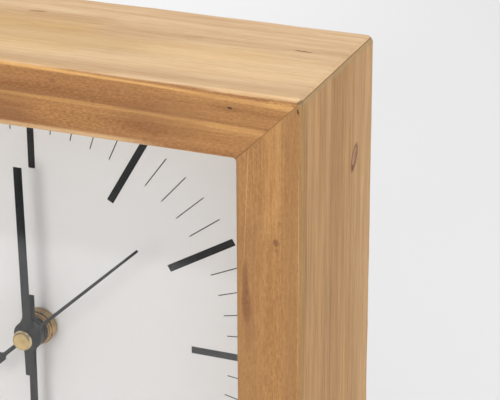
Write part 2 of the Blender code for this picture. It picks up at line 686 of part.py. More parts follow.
def make_setting_knob(black):
    outer_start = MOVEMENT_BACK_Y + SEAT_GAP
    outer_end = outer_start + KNOB_HEIGHT
    toward_minute = KNOB_DIRECTION + pi
    ahead = MINUTE_DIRECTION + pi
    step = 2 * pi / MINUTE_WHEEL_TEETH
    offset = ((KNOB_DIRECTION - ahead) % step) / step
    turn = toward_minute + (1 + 2 * offset) * pi / KNOB_PINION_TEETH
    pinion = pinion_mesh("setting_knob", KNOB_PINION_TEETH, MOTION_MODULE, MINUTE_LEVEL_Y, turn)
    knob = add_object("setting_knob", pinion, black, KNOB_ARBOR)
    shaft_start = MINUTE_LEVEL_Y - PINION_OVERHANG * 2
    profile = [(0.0, shaft_start - PIVOT_LENGTH), (KNOB_PIVOT_RADIUS, shaft_start - PIVOT_LENGTH),
               (KNOB_PIVOT_RADIUS, shaft_start), (KNOB_SHAFT_RADIUS, shaft_start),
               (KNOB_SHAFT_RADIUS, outer_start + KNOB_HEIGHT / 2), (0.0, outer_start + KNOB_HEIGHT / 2)]
    combine(knob, turned_mesh("setting_knob", profile, SMALL_SIDES), "UNION")
    outline = []
    for rib in range(KNOB_RIBS):
        for half, radius in enumerate((KNOB_RADIUS - KNOB_RIB_DEPTH, KNOB_RADIUS)):
            outline.append(polar(radius, (2 * rib + half) * pi / KNOB_RIBS))
    combine(knob, prism_mesh("setting_knob", outline, outer_start, outer_end), "UNION")


# Going train: from the rotor, half a turn a second, down to the centre wheel, one turn an hour

def make_second_wheel(white):
    turn = gap_turn(SECOND_WHEEL_TEETH, FIFTH_DIRECTION)
    wheel = wheel_mesh("second_wheel", SECOND_WHEEL_TEETH, FIFTH_MODULE, SECOND_LEVEL_Y, turn)
    second = add_object("second_wheel", wheel, white)
    turn = gap_turn(SECOND_PINION_TEETH, THIRD_DIRECTION)
    pinion = prism_mesh("second_wheel", gear_outline(SECOND_PINION_TEETH, THIRD_MODULE, turn),
                        THIRD_LEVEL_Y - PINION_OVERHANG, SECOND_LEVEL_Y + WHEEL_THICKNESS / 2)
    combine(second, pinion, "UNION")
    front = DIAL_Y - SECOND_HAND_HEIGHT + PIPE_PROUD
    back = BRIDGE_Y - SEAT_GAP
    profile = [(0.0, front), (SECOND_SHAFT_RADIUS, front), (SECOND_SHAFT_RADIUS, back),
               (PIVOT_RADIUS, back), (PIVOT_RADIUS, back + PIVOT_LENGTH), (0.0, back + PIVOT_LENGTH)]
    combine(second, turned_mesh("second_wheel", profile, SMALL_SIDES), "UNION")


def make_third_wheel(white):
    toward_hub = THIRD_DIRECTION + pi
    wheel = wheel_mesh("third_wheel", THIRD_WHEEL_TEETH, THIRD_MODULE, THIRD_LEVEL_Y, toward_hub)
    third = add_object("third_wheel", wheel, white, THIRD_ARBOR)
    turn = gap_turn(THIRD_PINION_TEETH, toward_hub)
    pinion = prism_mesh("third_wheel", gear_outline(THIRD_PINION_TEETH, CENTER_MODULE, turn),
                        CENTER_LEVEL_Y - PINION_OVERHANG, THIRD_LEVEL_Y + WHEEL_THICKNESS / 2)
    combine(third, pinion, "UNION")
    front = CENTER_LEVEL_Y - PINION_OVERHANG - PIPE_PROUD
    arbor = arbor_mesh("third_wheel", front, BRIDGE_Y - SEAT_GAP)
    combine(third, arbor, "UNION")


def make_center_wheel(grey):
    wheel = wheel_mesh("center_wheel", CENTER_WHEEL_TEETH, CENTER_MODULE, CENTER_LEVEL_Y, THIRD_DIRECTION)
    center = add_object("center_wheel", wheel, grey)
    bore = rod("center_wheel", MINUTE_PIPE_RADIUS + PRESS_GAP, CENTER_LEVEL_Y - CUT_OVERRUN,
               CENTER_LEVEL_Y + WHEEL_THICKNESS + CUT_OVERRUN, ROUND_SIDES)
    combine(center, bore, "DIFFERENCE")


def make_fifth_wheel(white):
    toward_hub = FIFTH_DIRECTION + pi
    turn = gap_turn(FIFTH_WHEEL_TEETH, ROTOR_DIRECTION)
    wheel = wheel_mesh("fifth_wheel", FIFTH_WHEEL_TEETH, ROTOR_MODULE, FIFTH_LEVEL_Y, turn)
    fifth = add_object("fifth_wheel", wheel, white, FIFTH_ARBOR)
    pinion = prism_mesh("fifth_wheel", gear_outline(FIFTH_PINION_TEETH, FIFTH_MODULE, toward_hub),
                        SECOND_LEVEL_Y - PINION_OVERHANG, FIFTH_LEVEL_Y + WHEEL_THICKNESS / 2)
    combine(fifth, pinion, "UNION")
    arbor = arbor_mesh("fifth_wheel", PLATE_Y + PLATE_THICKNESS + SEAT_GAP, BRIDGE_Y - SEAT_GAP)
    combine(fifth, arbor, "UNION")


def make_rotor(white, dark):
    toward_fifth = ROTOR_DIRECTION + pi
    pinion = pinion_mesh("rotor_pinion", ROTOR_PINION_TEETH, ROTOR_MODULE, FIFTH_LEVEL_Y, toward_fifth)
    rotor = add_object("rotor_pinion", pinion, white, ROTOR_ARBOR)
    front = PLATE_Y + PLATE_THICKNESS + SEAT_GAP
    combine(rotor, arbor_mesh("rotor_pinion", front, BRIDGE_Y - SEAT_GAP), "UNION")
    bore = ARBOR_RADIUS + PRESS_GAP
    start = front + SEAT_GAP
    profile = [(bore, start), (MAGNET_RADIUS, start), (MAGNET_RADIUS, start + MAGNET_HEIGHT),
               (bore, start + MAGNET_HEIGHT)]
    add_object("rotor_magnet", turned_mesh("rotor_magnet", profile), dark, ROTOR_ARBOR, smooth=True)


# Plates

def upper_meeting(first, first_reach, second, second_reach):
    """The upper point at the two given distances from two points."""
    gap_x, gap_z = second[0] - first[0], second[1] - first[1]
    between = hypot(gap_x, gap_z)
    along = (first_reach ** 2 - second_reach ** 2 + between ** 2) / (2 * between)
    across = sqrt(first_reach ** 2 - along ** 2)
    unit_x, unit_z = gap_x / between, gap_z / between
    return (first[0] + along * unit_x - across * unit_z, first[1] + along * unit_z + across * unit_x)


def pillar_places():
    """Four pillars round the train, outside every wheel."""
    clear = PILLAR_RADIUS + SEAT_GAP
    middle = upper_meeting(MINUTE_ARBOR, tip_radius(MINUTE_WHEEL_TEETH, MOTION_MODULE) + clear,
                           FIFTH_ARBOR, tip_radius(FIFTH_WHEEL_TEETH, ROTOR_MODULE) + clear)
    left = THIRD_ARBOR[0] - tip_radius(THIRD_WHEEL_TEETH, THIRD_MODULE) - clear
    right = ROTOR_ARBOR[0] + MAGNET_RADIUS + clear
    bottom = PILLAR_RADIUS + PLATE_MARGIN - TRAIN_DROP
    return [(left, bottom), (left, middle[1]), middle, (right, bottom)]


def plate_outline():
    left_low, left_high, middle_high, right_low = pillar_places()
    margin = PLATE_MARGIN
    rotor_top = ROTOR_ARBOR[1] + margin
    return [(left_low[0] - margin, left_low[1] - margin), (right_low[0] + margin, right_low[1] - margin),
            (right_low[0] + margin, rotor_top), (middle_high[0] + margin, middle_high[1] + margin),
            (left_high[0] - margin, left_high[1] + margin)]


def make_plate(name, start, thickness, holes, material):
    """holes is a list of (place, radius)."""
    plate = add_object(name, prism_mesh(name, plate_outline(), start, start + thickness), material)
    cutters = [rod(name, radius, start - CUT_OVERRUN, start + thickness + CUT_OVERRUN, SMALL_SIDES, place)
               for place, radius in holes]
    combine(plate, join_meshes(name, cutters), "DIFFERENCE")


def make_plates(grey, white):
    pivot_hole = PIVOT_RADIUS + PIVOT_CLEARANCE
    pinion_hole = tip_radius(THIRD_PINION_TEETH, CENTER_MODULE) + PINION_HOLE_CLEARANCE
    holes = [(HUB, SECOND_SHAFT_RADIUS + PINION_HOLE_CLEARANCE), (THIRD_ARBOR, pinion_hole),
             (FIFTH_ARBOR, pivot_hole), (ROTOR_ARBOR, pivot_hole)]
    holes += [(place, PILLAR_NECK_RADIUS + PRESS_GAP) for place in pillar_places()]
    make_plate("middle_plate", PLATE_Y, PLATE_THICKNESS, holes, grey)
    holes = [(place, pivot_hole) for place in (HUB, THIRD_ARBOR, FIFTH_ARBOR, ROTOR_ARBOR)]
    holes += [(place, PILLAR_TIP_RADIUS + PRESS_GAP) for place in pillar_places()]
    make_plate("train_bridge", BRIDGE_Y, BRIDGE_THICKNESS, holes, white)


# Movement shells

def battery_centre():
    low = -MOVEMENT_HEIGHT / 2 + SHELL_WALL + SEAT_GAP + BATTERY_RADIUS
    depth = MOVEMENT_FLOOR_Y + SEAT_GAP + BATTERY_RADIUS
    return depth, low


def bay_top():
    return battery_centre()[1] + BATTERY_RADIUS + SEAT_GAP


def cavity_outlines():
    half_width = MOVEMENT_WIDTH / 2 - SHELL_WALL
    half_height = MOVEMENT_HEIGHT / 2 - SHELL_WALL
    train = rectangle(-half_width, half_width, bay_top() + BAY_PARTITION, half_height)
    bay = rectangle(-half_width, half_width, -half_height, bay_top())
    return train, bay


def shell_outline():
    half_width = MOVEMENT_WIDTH / 2
    half_height = MOVEMENT_HEIGHT / 2
    return rounded_rectangle(-half_width, half_width, -half_height, half_height, MOVEMENT_CORNER_RADIUS)


def pillar_mesh(name, place):
    foot = MOVEMENT_FLOOR_Y - SHELL_WALL / 2
    shoulder = PLATE_Y - SEAT_GAP
    neck_end = BRIDGE_Y - SEAT_GAP
    tip_end = BRIDGE_Y + BRIDGE_THICKNESS + SEAT_GAP
    profile = [(0.0, foot), (PILLAR_RADIUS, foot), (PILLAR_RADIUS, shoulder),
               (PILLAR_NECK_RADIUS, shoulder), (PILLAR_NECK_RADIUS, neck_end),
               (PILLAR_TIP_RADIUS, neck_end), (PILLAR_TIP_RADIUS, tip_end), (0.0, tip_end)]
    return moved_mesh(turned_mesh(name, profile, SMALL_SIDES), *place)


def make_front_shell(black):
    name = "movement_front_case"
    shell = add_object(name, prism_mesh(name, shell_outline(), MOVEMENT_Y, FRONT_SHELL_END_Y), black)
    cavities = [prism_mesh(name, outline, MOVEMENT_FLOOR_Y, FRONT_SHELL_END_Y + CUT_OVERRUN)
                for outline in cavity_outlines()]
    combine(shell, join_meshes(name, cavities), "DIFFERENCE")
    foot = MOVEMENT_FLOOR_Y - SHELL_WALL / 2
    posts = [pillar_mesh(name, place) for place in pillar_places()]
    third_top = CENTER_LEVEL_Y - PINION_OVERHANG - PIPE_PROUD - SEAT_GAP
    third_post = PIVOT_RADIUS + PIVOT_CLEARANCE + POST_WALL
    knob_top = MINUTE_LEVEL_Y - PINION_OVERHANG * 2 - SEAT_GAP
    knob_post = KNOB_PIVOT_RADIUS + PIVOT_CLEARANCE + POST_WALL
    minute_top = MINUTE_LEVEL_Y + WHEEL_THICKNESS
    minute_post = minute_bore_radius() - MINUTE_BORE_CLEARANCE
    posts += [rod(name, third_post, foot, third_top, SMALL_SIDES, THIRD_ARBOR),
              rod(name, knob_post, foot, knob_top, SMALL_SIDES, KNOB_ARBOR),
              rod(name, minute_post, foot, minute_top, SMALL_SIDES, MINUTE_ARBOR)]
    combine(shell, join_meshes(name, posts), "UNION")
    third_hole = third_top - PIVOT_LENGTH
    knob_hole = knob_top - PIVOT_LENGTH
    holes = [rod(name, BUSH_RADIUS + PRESS_GAP, MOVEMENT_Y - CUT_OVERRUN, MOVEMENT_FLOOR_Y + CUT_OVERRUN,
                 ROUND_SIDES),
             rod(name, PIVOT_RADIUS + PIVOT_CLEARANCE, third_hole, third_top + CUT_OVERRUN, SMALL_SIDES,
                 THIRD_ARBOR),
             rod(name, KNOB_PIVOT_RADIUS + PIVOT_CLEARANCE, knob_hole, knob_top + CUT_OVERRUN, SMALL_SIDES,
                 KNOB_ARBOR)]
    combine(shell, join_meshes(name, holes), "DIFFERENCE")


def make_rear_shell(black):
    name = "movement_rear_case"
    shell = add_object(name, prism_mesh(name, shell_outline(), REAR_SHELL_Y, MOVEMENT_BACK_Y), black)
    train, bay = cavity_outlines()
    cavities = [prism_mesh(name, train, REAR_SHELL_Y - CUT_OVERRUN, REAR_WALL_Y),
                prism_mesh(name, bay, REAR_SHELL_Y - CUT_OVERRUN, MOVEMENT_BACK_Y + CUT_OVERRUN)]
    combine(shell, join_meshes(name, cavities), "DIFFERENCE")
    hole = rod(name, KNOB_SHAFT_RADIUS + KNOB_HOLE_CLEARANCE, REAR_WALL_Y - CUT_OVERRUN,
               MOVEMENT_BACK_Y + CUT_OVERRUN, SMALL_SIDES, KNOB_ARBOR)
    combine(shell, hole, "DIFFERENCE")


# Battery and contacts

def lying_turned_mesh(name, profile, y, z, sides=ROUND_SIDES):
    """Spins an (radius, x) profile round a line along X through (y, z)."""
    mesh = turned_mesh(name, profile, sides)
    work = bmesh.new()
    work.from_mesh(mesh)
    for vertex in work.verts:
        radius_x, along, radius_z = vertex.co
        vertex.co = (along, y + radius_x, z + radius_z)
    return finish_mesh(work, name)


def make_battery(sleeve, brass):
    y, z = battery_centre()
    bay_end = MOVEMENT_WIDTH / 2 - SHELL_WALL
    nub_end = bay_end - SEAT_GAP - CONTACT_THICKNESS - SEAT_GAP
    body_end = nub_end - BATTERY_NUB_LENGTH
    body_start = body_end - BATTERY_BODY_LENGTH
    edge = BATTERY_EDGE_RADIUS
    profile = [(0.0, body_start), (BATTERY_RADIUS - edge, body_start), (BATTERY_RADIUS, body_start + edge),
               (BATTERY_RADIUS, body_end - edge), (BATTERY_RADIUS - edge, body_end),
               (BATTERY_NUB_RADIUS, body_end), (BATTERY_NUB_RADIUS, nub_end), (0.0, nub_end)]
    add_object("battery", lying_turned_mesh("battery", profile, y, z), sleeve, smooth=True)
    plus_outline = rectangle(nub_end + SEAT_GAP, nub_end + SEAT_GAP + CONTACT_THICKNESS,
                             z - CONTACT_HEIGHT / 2, z + CONTACT_HEIGHT / 2)
    leaf_front = y - CONTACT_WIDTH / 2
    leaf_back = y + CONTACT_WIDTH / 2
    plus = prism_mesh("battery_contact_positive", plus_outline, leaf_front, leaf_back)
    add_object("battery_contact_positive", plus, brass)
    wall = -bay_end + SEAT_GAP
    tip = min(body_start - SEAT_GAP, wall + CONTACT_SPRING_DEPTH + CONTACT_THICKNESS)
    low = z - CONTACT_HEIGHT / 2
    high = z + CONTACT_HEIGHT / 2
    bow = CONTACT_BOW_HALF_HEIGHT
    leaf = [(wall, low), (wall + CONTACT_THICKNESS, low), (wall + CONTACT_THICKNESS, z - bow),
            (tip, z), (wall + CONTACT_THICKNESS, z + bow), (wall + CONTACT_THICKNESS, high), (wall, high),
            (wall, z + bow), (tip - CONTACT_THICKNESS, z), (wall, z - bow)]
    minus = prism_mesh("battery_contact_negative", leaf, leaf_front, leaf_back)
    add_object("battery_contact_negative", minus, brass)


# Step motor

def coil_ends():
    left = COIL_OFFSET - COIL_LENGTH / 2
    right = COIL_OFFSET + COIL_LENGTH / 2
    return left, right


def stator_outline():
    """A plate round the rotor with two arms that reach the ends of the coil's core."""
    x, z = ROTOR_ARBOR
    left, right = coil_ends()
    half = MAGNET_RADIUS + MAGNET_GAP + STATOR_RIM
    slot = STATOR_SLOT_WIDTH / 2
    band_high = COIL_HEIGHT - BOBBIN_FLANGE_RADIUS - SEAT_GAP
    band_low = band_high - STATOR_ARM_WIDTH
    top = COIL_HEIGHT + CORE_WIDTH / 2
    outer_left = left - CORE_END
    outer_right = right + CORE_END
    inner_left = left - SEAT_GAP
    inner_right = right + SEAT_GAP
    return [(x - half, z - half), (x + half, z - half), (x + half, band_low), (outer_right, band_low),
            (outer_right, top), (inner_right, top), (inner_right, band_high), (x + slot, band_high),
            (x + slot, z + half), (x - slot, z + half), (x - slot, band_high), (inner_left, band_high),
            (inner_left, top), (outer_left, top), (outer_left, band_low), (x - half, band_low)]


def make_step_motor(steel, white, copper):
    back = STATOR_Y + STATOR_THICKNESS
    stator = add_object("stator", prism_mesh("stator", stator_outline(), STATOR_Y, back), steel)
    hole = rod("stator", MAGNET_RADIUS + MAGNET_GAP, STATOR_Y - CUT_OVERRUN, back + CUT_OVERRUN,
               ROUND_SIDES, ROTOR_ARBOR)
    combine(stator, hole, "DIFFERENCE")
    left, right = coil_ends()
    core_low = COIL_HEIGHT - CORE_WIDTH / 2
    core_high = COIL_HEIGHT + CORE_WIDTH / 2
    core = rectangle(left - CORE_END, right + CORE_END, core_low, core_high)
    add_object("coil_core", prism_mesh("coil_core", core, CORE_Y, CORE_Y + CORE_THICKNESS), steel)
    flange = BOBBIN_FLANGE_THICKNESS
    profile = [(0.0, left), (BOBBIN_FLANGE_RADIUS, left), (BOBBIN_FLANGE_RADIUS, left + flange),
               (BOBBIN_CORE_RADIUS, left + flange), (BOBBIN_CORE_RADIUS, right - flange),
               (BOBBIN_FLANGE_RADIUS, right - flange), (BOBBIN_FLANGE_RADIUS, right), (0.0, right)]
    spool = lying_turned_mesh("coil_bobbin", profile, COIL_Y, COIL_HEIGHT)
    bobbin = add_object("coil_bobbin", spool, white)
    slot = rectangle(left - CUT_OVERRUN, right + CUT_OVERRUN, core_low - PRESS_GAP, core_high + PRESS_GAP)
    tunnel = prism_mesh("coil_bobbin", slot, CORE_Y - PRESS_GAP, CORE_Y + CORE_THICKNESS + PRESS_GAP)
    combine(bobbin, tunnel, "DIFFERENCE")
    start = left + flange + SEAT_GAP
    end = right - flange - SEAT_GAP
    inner = BOBBIN_CORE_RADIUS + PRESS_GAP
    profile = [(inner, start), (COIL_RADIUS, start), (COIL_RADIUS, end), (inner, end)]
    winding = lying_turned_mesh("coil_winding", profile, COIL_Y, COIL_HEIGHT)
    add_object("coil_winding", winding, copper, smooth=True)


def make_electronics(green, steel, dark):
    high = MOVEMENT_HEIGHT / 2 - SHELL_WALL - SEAT_GAP
    low = high - CIRCUIT_HEIGHT
    left = COIL_OFFSET - CIRCUIT_WIDTH / 2
    right = COIL_OFFSET + CIRCUIT_WIDTH / 2
    back = CIRCUIT_Y + CIRCUIT_THICKNESS
    board = prism_mesh("circuit_board", rectangle(left, right, low, high), CIRCUIT_Y, back)
    add_object("circuit_board", board, green)
    y = back + SEAT_GAP + CRYSTAL_RADIUS
    z = low + CRYSTAL_LOWER_MARGIN
    start = left + CRYSTAL_SIDE_MARGIN
    profile = [(0.0, start), (CRYSTAL_RADIUS, start), (CRYSTAL_RADIUS, start + CRYSTAL_LENGTH),
               (0.0, start + CRYSTAL_LENGTH)]
    can = lying_turned_mesh("quartz_crystal", profile, y, z, SMALL_SIDES)
    add_object("quartz_crystal", can, steel, smooth=True)
    seat = back + SEAT_GAP
    angles = [step / CORNER_STEPS * pi / 2 for step in range(CORNER_STEPS)]
    rise = [(CHIP_RADIUS * cos(angle), seat + CHIP_HEIGHT * sin(angle)) for angle in angles]
    profile = [(0.0, seat)] + rise + [(0.0, seat + CHIP_HEIGHT)]
    place = (right - CHIP_SIDE_MARGIN, high - CIRCUIT_HEIGHT / 2)
    add_object("chip_cover", turned_mesh("chip_cover", profile), dark, place, smooth=True)


def main():
    clear_scene()
    wood = make_material("wood", (0.48, 0.24, 0.10), 0.55)
    glass = make_material("glass", (0.90, 0.93, 0.93), 0.05, alpha=0.2)
    card = make_material("card", (0.69, 0.67, 0.65), 0.85)
    fibreboard = make_material("fibreboard", (0.20, 0.12, 0.07), 0.9)
    black = make_material("hand_black", (0.03, 0.033, 0.037), 0.45)
    brass = make_material("brass", (0.60, 0.42, 0.18), 0.3, metallic=1.0)
    rubber = make_material("rubber", (0.02, 0.02, 0.02), 0.9)
    shell = make_material("black_plastic", (0.02, 0.02, 0.022), 0.5)
    white = make_material("white_plastic", (0.75, 0.75, 0.72), 0.4)
    grey = make_material("grey_plastic", (0.30, 0.31, 0.33), 0.5)
    steel = make_material("steel", (0.45, 0.45, 0.46), 0.35, metallic=1.0)
    magnet = make_material("magnet", (0.09, 0.09, 0.095), 0.4, metallic=0.6)
    copper = make_material("copper", (0.55, 0.22, 0.10), 0.4, metallic=1.0)
    green = make_material("circuit", (0.03, 0.16, 0.07), 0.5)
    sleeve = make_material("battery_sleeve", (0.10, 0.11, 0.13), 0.35)
    make_boards(wood)
    make_sheets(glass, card, fibreboard)
    make_dial_fixing(brass, rubber)
    make_hands(black, brass)
    make_motion_work(white, grey)
    make_setting_knob(shell)
    make_second_wheel(white)
    make_third_wheel(white)
    make_center_wheel(grey)
    make_fifth_wheel(white)
    make_rotor(white, magnet)
    make_plates(grey, white)
    make_front_shell(shell)
    make_rear_shell(shell)
    make_battery(sleeve, brass)
    make_step_motor(steel, white, copper)
    make_electronics(green, steel, magnet)


main()
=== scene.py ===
# %% [markdown]
# Table clock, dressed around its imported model
#
# The clock is a deep square box of four mitred softwood boards, about 200 mm wide. A clear pane sits near
# the front, a printed card lies deep behind it, and a quartz movement with three hands fills the back. The
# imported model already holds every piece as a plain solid. This lesson gives each piece its finer shape and
# its finish. Lengths are in millimetres where a name ends in _MM and in the tables of the boards. All
# others are in metres.

# %% Load the frame
from math import atan2, cos, hypot, pi, radians, sin, sqrt, tan

import bmesh
import bpy
from mathutils import Matrix, Vector, noise


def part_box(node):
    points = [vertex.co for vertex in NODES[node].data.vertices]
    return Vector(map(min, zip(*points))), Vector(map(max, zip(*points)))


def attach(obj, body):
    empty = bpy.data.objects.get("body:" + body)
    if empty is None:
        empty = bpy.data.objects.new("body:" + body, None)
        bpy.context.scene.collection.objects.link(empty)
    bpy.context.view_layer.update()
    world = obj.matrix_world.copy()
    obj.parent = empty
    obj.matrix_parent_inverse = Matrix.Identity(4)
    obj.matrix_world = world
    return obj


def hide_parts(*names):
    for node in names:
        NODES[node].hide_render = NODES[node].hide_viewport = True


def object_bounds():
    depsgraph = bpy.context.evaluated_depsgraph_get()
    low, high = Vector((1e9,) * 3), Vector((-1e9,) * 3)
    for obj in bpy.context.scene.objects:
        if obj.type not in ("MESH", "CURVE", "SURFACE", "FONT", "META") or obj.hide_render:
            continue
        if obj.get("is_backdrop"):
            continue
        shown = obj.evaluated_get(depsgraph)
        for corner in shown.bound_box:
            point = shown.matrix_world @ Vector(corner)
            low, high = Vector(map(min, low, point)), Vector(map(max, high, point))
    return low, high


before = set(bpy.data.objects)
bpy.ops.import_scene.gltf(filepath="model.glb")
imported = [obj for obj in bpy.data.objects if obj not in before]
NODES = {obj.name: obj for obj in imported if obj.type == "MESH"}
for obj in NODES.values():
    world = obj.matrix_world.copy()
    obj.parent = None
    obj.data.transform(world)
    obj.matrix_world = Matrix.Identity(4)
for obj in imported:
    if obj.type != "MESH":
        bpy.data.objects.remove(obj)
CAD_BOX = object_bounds()
MM = 0.001
HUB_HEIGHT = 0.100

# %% [markdown]
# Node trees serve three ends here: finishes, shapes that repeat, and the light around the clock. A few
# helpers put nodes into any of them. A node's output can be used in a plain sum, such as a * 2 + b, and
# each sign adds a node.

# %% Helpers for objects and node trees


def placed(name, data):
    """A new object in the scene."""
    made = bpy.data.objects.new(name, data)
    bpy.context.scene.collection.objects.link(made)
    return made


def feed(socket, value):
    """Links a socket to another node's output, or sets its own value."""
    if isinstance(value, Value):
        value = value.socket
    if isinstance(value, bpy.types.NodeSocket):
        socket.id_data.links.new(value, socket)
    elif isinstance(value, tuple) and len(value) == 3 and socket.type == "RGBA":
        socket.default_value = (*value, 1.0)
    else:
        socket.default_value = value


def put_node(tree, kind, inputs=(), **settings):
    node = tree.nodes.new(kind)
    for name, value in settings.items():
        setattr(node, name, value)
    for key, value in dict(inputs).items():
        feed(node.inputs[key], value)
    return node


class Value:
    """A node's output. Arithmetic on it adds math nodes to the same tree."""

    def __init__(self, socket):
        self.socket = socket

    def math(self, operation, *others):
        inputs = dict(enumerate((self, *others)))
        node = put_node(self.socket.id_data, "ShaderNodeMath", inputs, operation=operation)
        return Value(node.outputs[0])

    def __add__(self, other):
        return self.math("ADD", other)

    def __sub__(self, other):
        return self.math("SUBTRACT", other)

    def __rsub__(self, other):
        return self * -1.0 + other

    def __mul__(self, other):
        return self.math("MULTIPLY", other)

    def __truediv__(self, other):
        return self.math("DIVIDE", other)

    def __pow__(self, other):
        return self.math("POWER", other)

    def __abs__(self):
        return self.math("ABSOLUTE")


print("helpers ready")

# %% [markdown]
# The camera comes first. The photograph is taken from the right and above with a long lens, close to the
# clock, so only its upper right quarter fills the frame. The place and the turn of the camera were fitted
# to edges of the boards and to marks of the dial. A long lens keeps the boards' edges nearly parallel.

# %% Camera
CAMERA_PLACE = (0.300182, -0.565298, 0.414916)
CAMERA_AZIMUTH = radians(21.985)
CAMERA_ELEVATION = radians(23.17)
CAMERA_ROLL = radians(-0.243)
LENS_MM = 160.0
SENSOR_MM = 36.0


def make_camera():
    forward = Vector((-sin(CAMERA_AZIMUTH) * cos(CAMERA_ELEVATION),
                      cos(CAMERA_AZIMUTH) * cos(CAMERA_ELEVATION), -sin(CAMERA_ELEVATION)))
    level = Vector((cos(CAMERA_AZIMUTH), sin(CAMERA_AZIMUTH), 0.0))
    upward = level.cross(forward)
    right = cos(CAMERA_ROLL) * level + sin(CAMERA_ROLL) * upward
    upward = cos(CAMERA_ROLL) * upward - sin(CAMERA_ROLL) * level
    data = bpy.data.cameras.new("camera")
    data.lens = LENS_MM
    data.sensor_width = SENSOR_MM
    data.sensor_fit = "HORIZONTAL"
    data.clip_start = 0.01
    data.clip_end = 50.0
    camera = placed("camera", data)
    turn = Matrix((right, upward, -forward)).transposed().to_4x4()
    camera.matrix_world = Matrix.Translation(CAMERA_PLACE) @ turn
    return camera


camera = make_camera()
bpy.context.scene.camera = camera
bpy.context.scene.view_settings.view_transform = "Standard"
print("camera at", [round(v, 3) for v in camera.location])

# %% [markdown]
# A material is a small chain of nodes. The same few steps come back in each of them: a mix of two colours,
# a noise, a smooth step from one value to another. One helper holds those steps, so that a finish below
# reads like a recipe.

# %% Helper for materials


class Finish:
    """One material under construction. Its steps return values that later steps take."""

    def __init__(self, name, roughness=0.5, metallic=0.0):
        self.material = bpy.data.materials.new(name)
        self.material.use_nodes = True
        self.tree = self.material.node_tree
        self.tree.nodes.clear()
        self.surface = self.step("ShaderNodeOutputMaterial").inputs["Surface"]
        self.shader = self.step("ShaderNodeBsdfPrincipled", {"Roughness": roughness, "Metallic": metallic})
        feed(self.surface, self.shader.outputs[0])
        self.place = self.step("ShaderNodeTexCoord").outputs["Object"]

    def step(self, kind, inputs=(), **settings):
        return put_node(self.tree, kind, inputs, **settings)

    def between(self, value, low, high, low_out=0.0, high_out=1.0):
        """A smooth step of value from low to high."""
        inputs = {"Value": value, "From Min": low, "From Max": high, "To Min": low_out, "To Max": high_out}
        step = self.step("ShaderNodeMapRange", inputs, interpolation_type="SMOOTHSTEP")
        return Value(step.outputs["Result"])

    def mapped(self, vector, scale=(1.0, 1.0, 1.0), turn=(0.0, 0.0, 0.0), shift=(0.0, 0.0, 0.0)):
        inputs = {"Vector": vector, "Scale": scale, "Rotation": turn, "Location": shift}
        return Value(self.step("ShaderNodeMapping", inputs).outputs[0])

    def split(self, vector):
        return [Value(part) for part in self.step("ShaderNodeSeparateXYZ", {"Vector": vector}).outputs]

    def joined(self, x, y, z):
        return Value(self.step("ShaderNodeCombineXYZ", {"X": x, "Y": y, "Z": z}).outputs[0])

    def noise(self, vector, scale=1.0, detail=3.0, roughness=0.5, distortion=0.0):
        inputs = {"Vector": vector, "Scale": scale, "Detail": detail, "Roughness": roughness,
                  "Distortion": distortion}
        return Value(self.step("ShaderNodeTexNoise", inputs).outputs["Fac"])

    def mix(self, share, first, second, blend="MIX"):
        inputs = {0: share, 6: first, 7: second}
        return Value(self.step("ShaderNodeMix", inputs, data_type="RGBA", blend_type=blend).outputs[2])

    def colour(self, value):
        feed(self.shader.inputs["Base Color"], value)

    def rough(self, value):
        feed(self.shader.inputs["Roughness"], value)

    def bump(self, height, distance):
        """Relief of this depth in metres."""
        relief = self.step("ShaderNodeBump", {"Height": height, "Distance": distance})
        feed(self.shader.inputs["Normal"], relief.outputs[0])


print("finish helper ready")

# %% [markdown]
# Every finer piece is tied to three things: the body it moves with, the imported nodes it stands for and
# hides, and its materials. One helper does all three, so that no piece forgets one. Most pieces are a row
# of rings with a skin of faces over them.

# %% Helpers for pieces


def add_piece(name, mesh, material, body, replaces=(), sharp_angle=30.0):
    mesh.materials.clear()
    for one in material if isinstance(material, (list, tuple)) else (material,):
        mesh.materials.append(one)
    mesh.shade_smooth()
    mesh.set_sharp_from_angle(angle=radians(sharp_angle))
    piece = placed(name, mesh)
    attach(piece, body)
    if replaces:
        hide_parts(*replaces)
    print(name, "rides on", body, "with", len(mesh.polygons), "faces")


def skin(work, rings, capped=False):
    """Joins each ring of vertices to the next with faces. A vertex may stand for a whole ring, as a pole."""
    for ring, following in zip(rings, rings[1:]):
        for index in range(len(ring)):
            after = (index + 1) % len(ring)
            corners = dict.fromkeys((ring[index], ring[after], following[after], following[index]))
            if len(corners) > 2:
                work.faces.new(list(corners))
    if capped:
        work.faces.new(rings[0])
        work.faces.new(rings[-1])


def closed_mesh(work, name):
    """Turns a finished bmesh into a mesh with its faces outwards."""
    bmesh.ops.remove_doubles(work, verts=work.verts, dist=0.000001)
    bmesh.ops.recalc_face_normals(work, faces=work.faces)
    mesh = bpy.data.meshes.new(name)
    work.to_mesh(mesh)
    work.free()
    return mesh


def paint_node(name, finish):
    """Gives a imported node, whose shape stays, its material."""
    NODES[name].data.materials.clear()
    NODES[name].data.materials.append(finish.material)


def quarter_turn(steps):
    """Angles from 0 to 90 degrees."""
    return [step / steps * pi / 2 for step in range(steps + 1)]


print("piece helpers ready")

# %% [markdown]
# The boards are solid softwood, 20.5 mm thick and 60 mm deep, mitred at the corners and rubbed over along
# every edge. A board can be a swept section: the section holds the rounded edges and the grooves for the
# pane and the dial board, and the sweep ends in the 45 degree mitres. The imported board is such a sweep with
# few faces. Here the section gets fine arcs, the edge radius wanders a little along the board as hand
# sanding leaves it, and the opening's corners are filled with a small fillet.

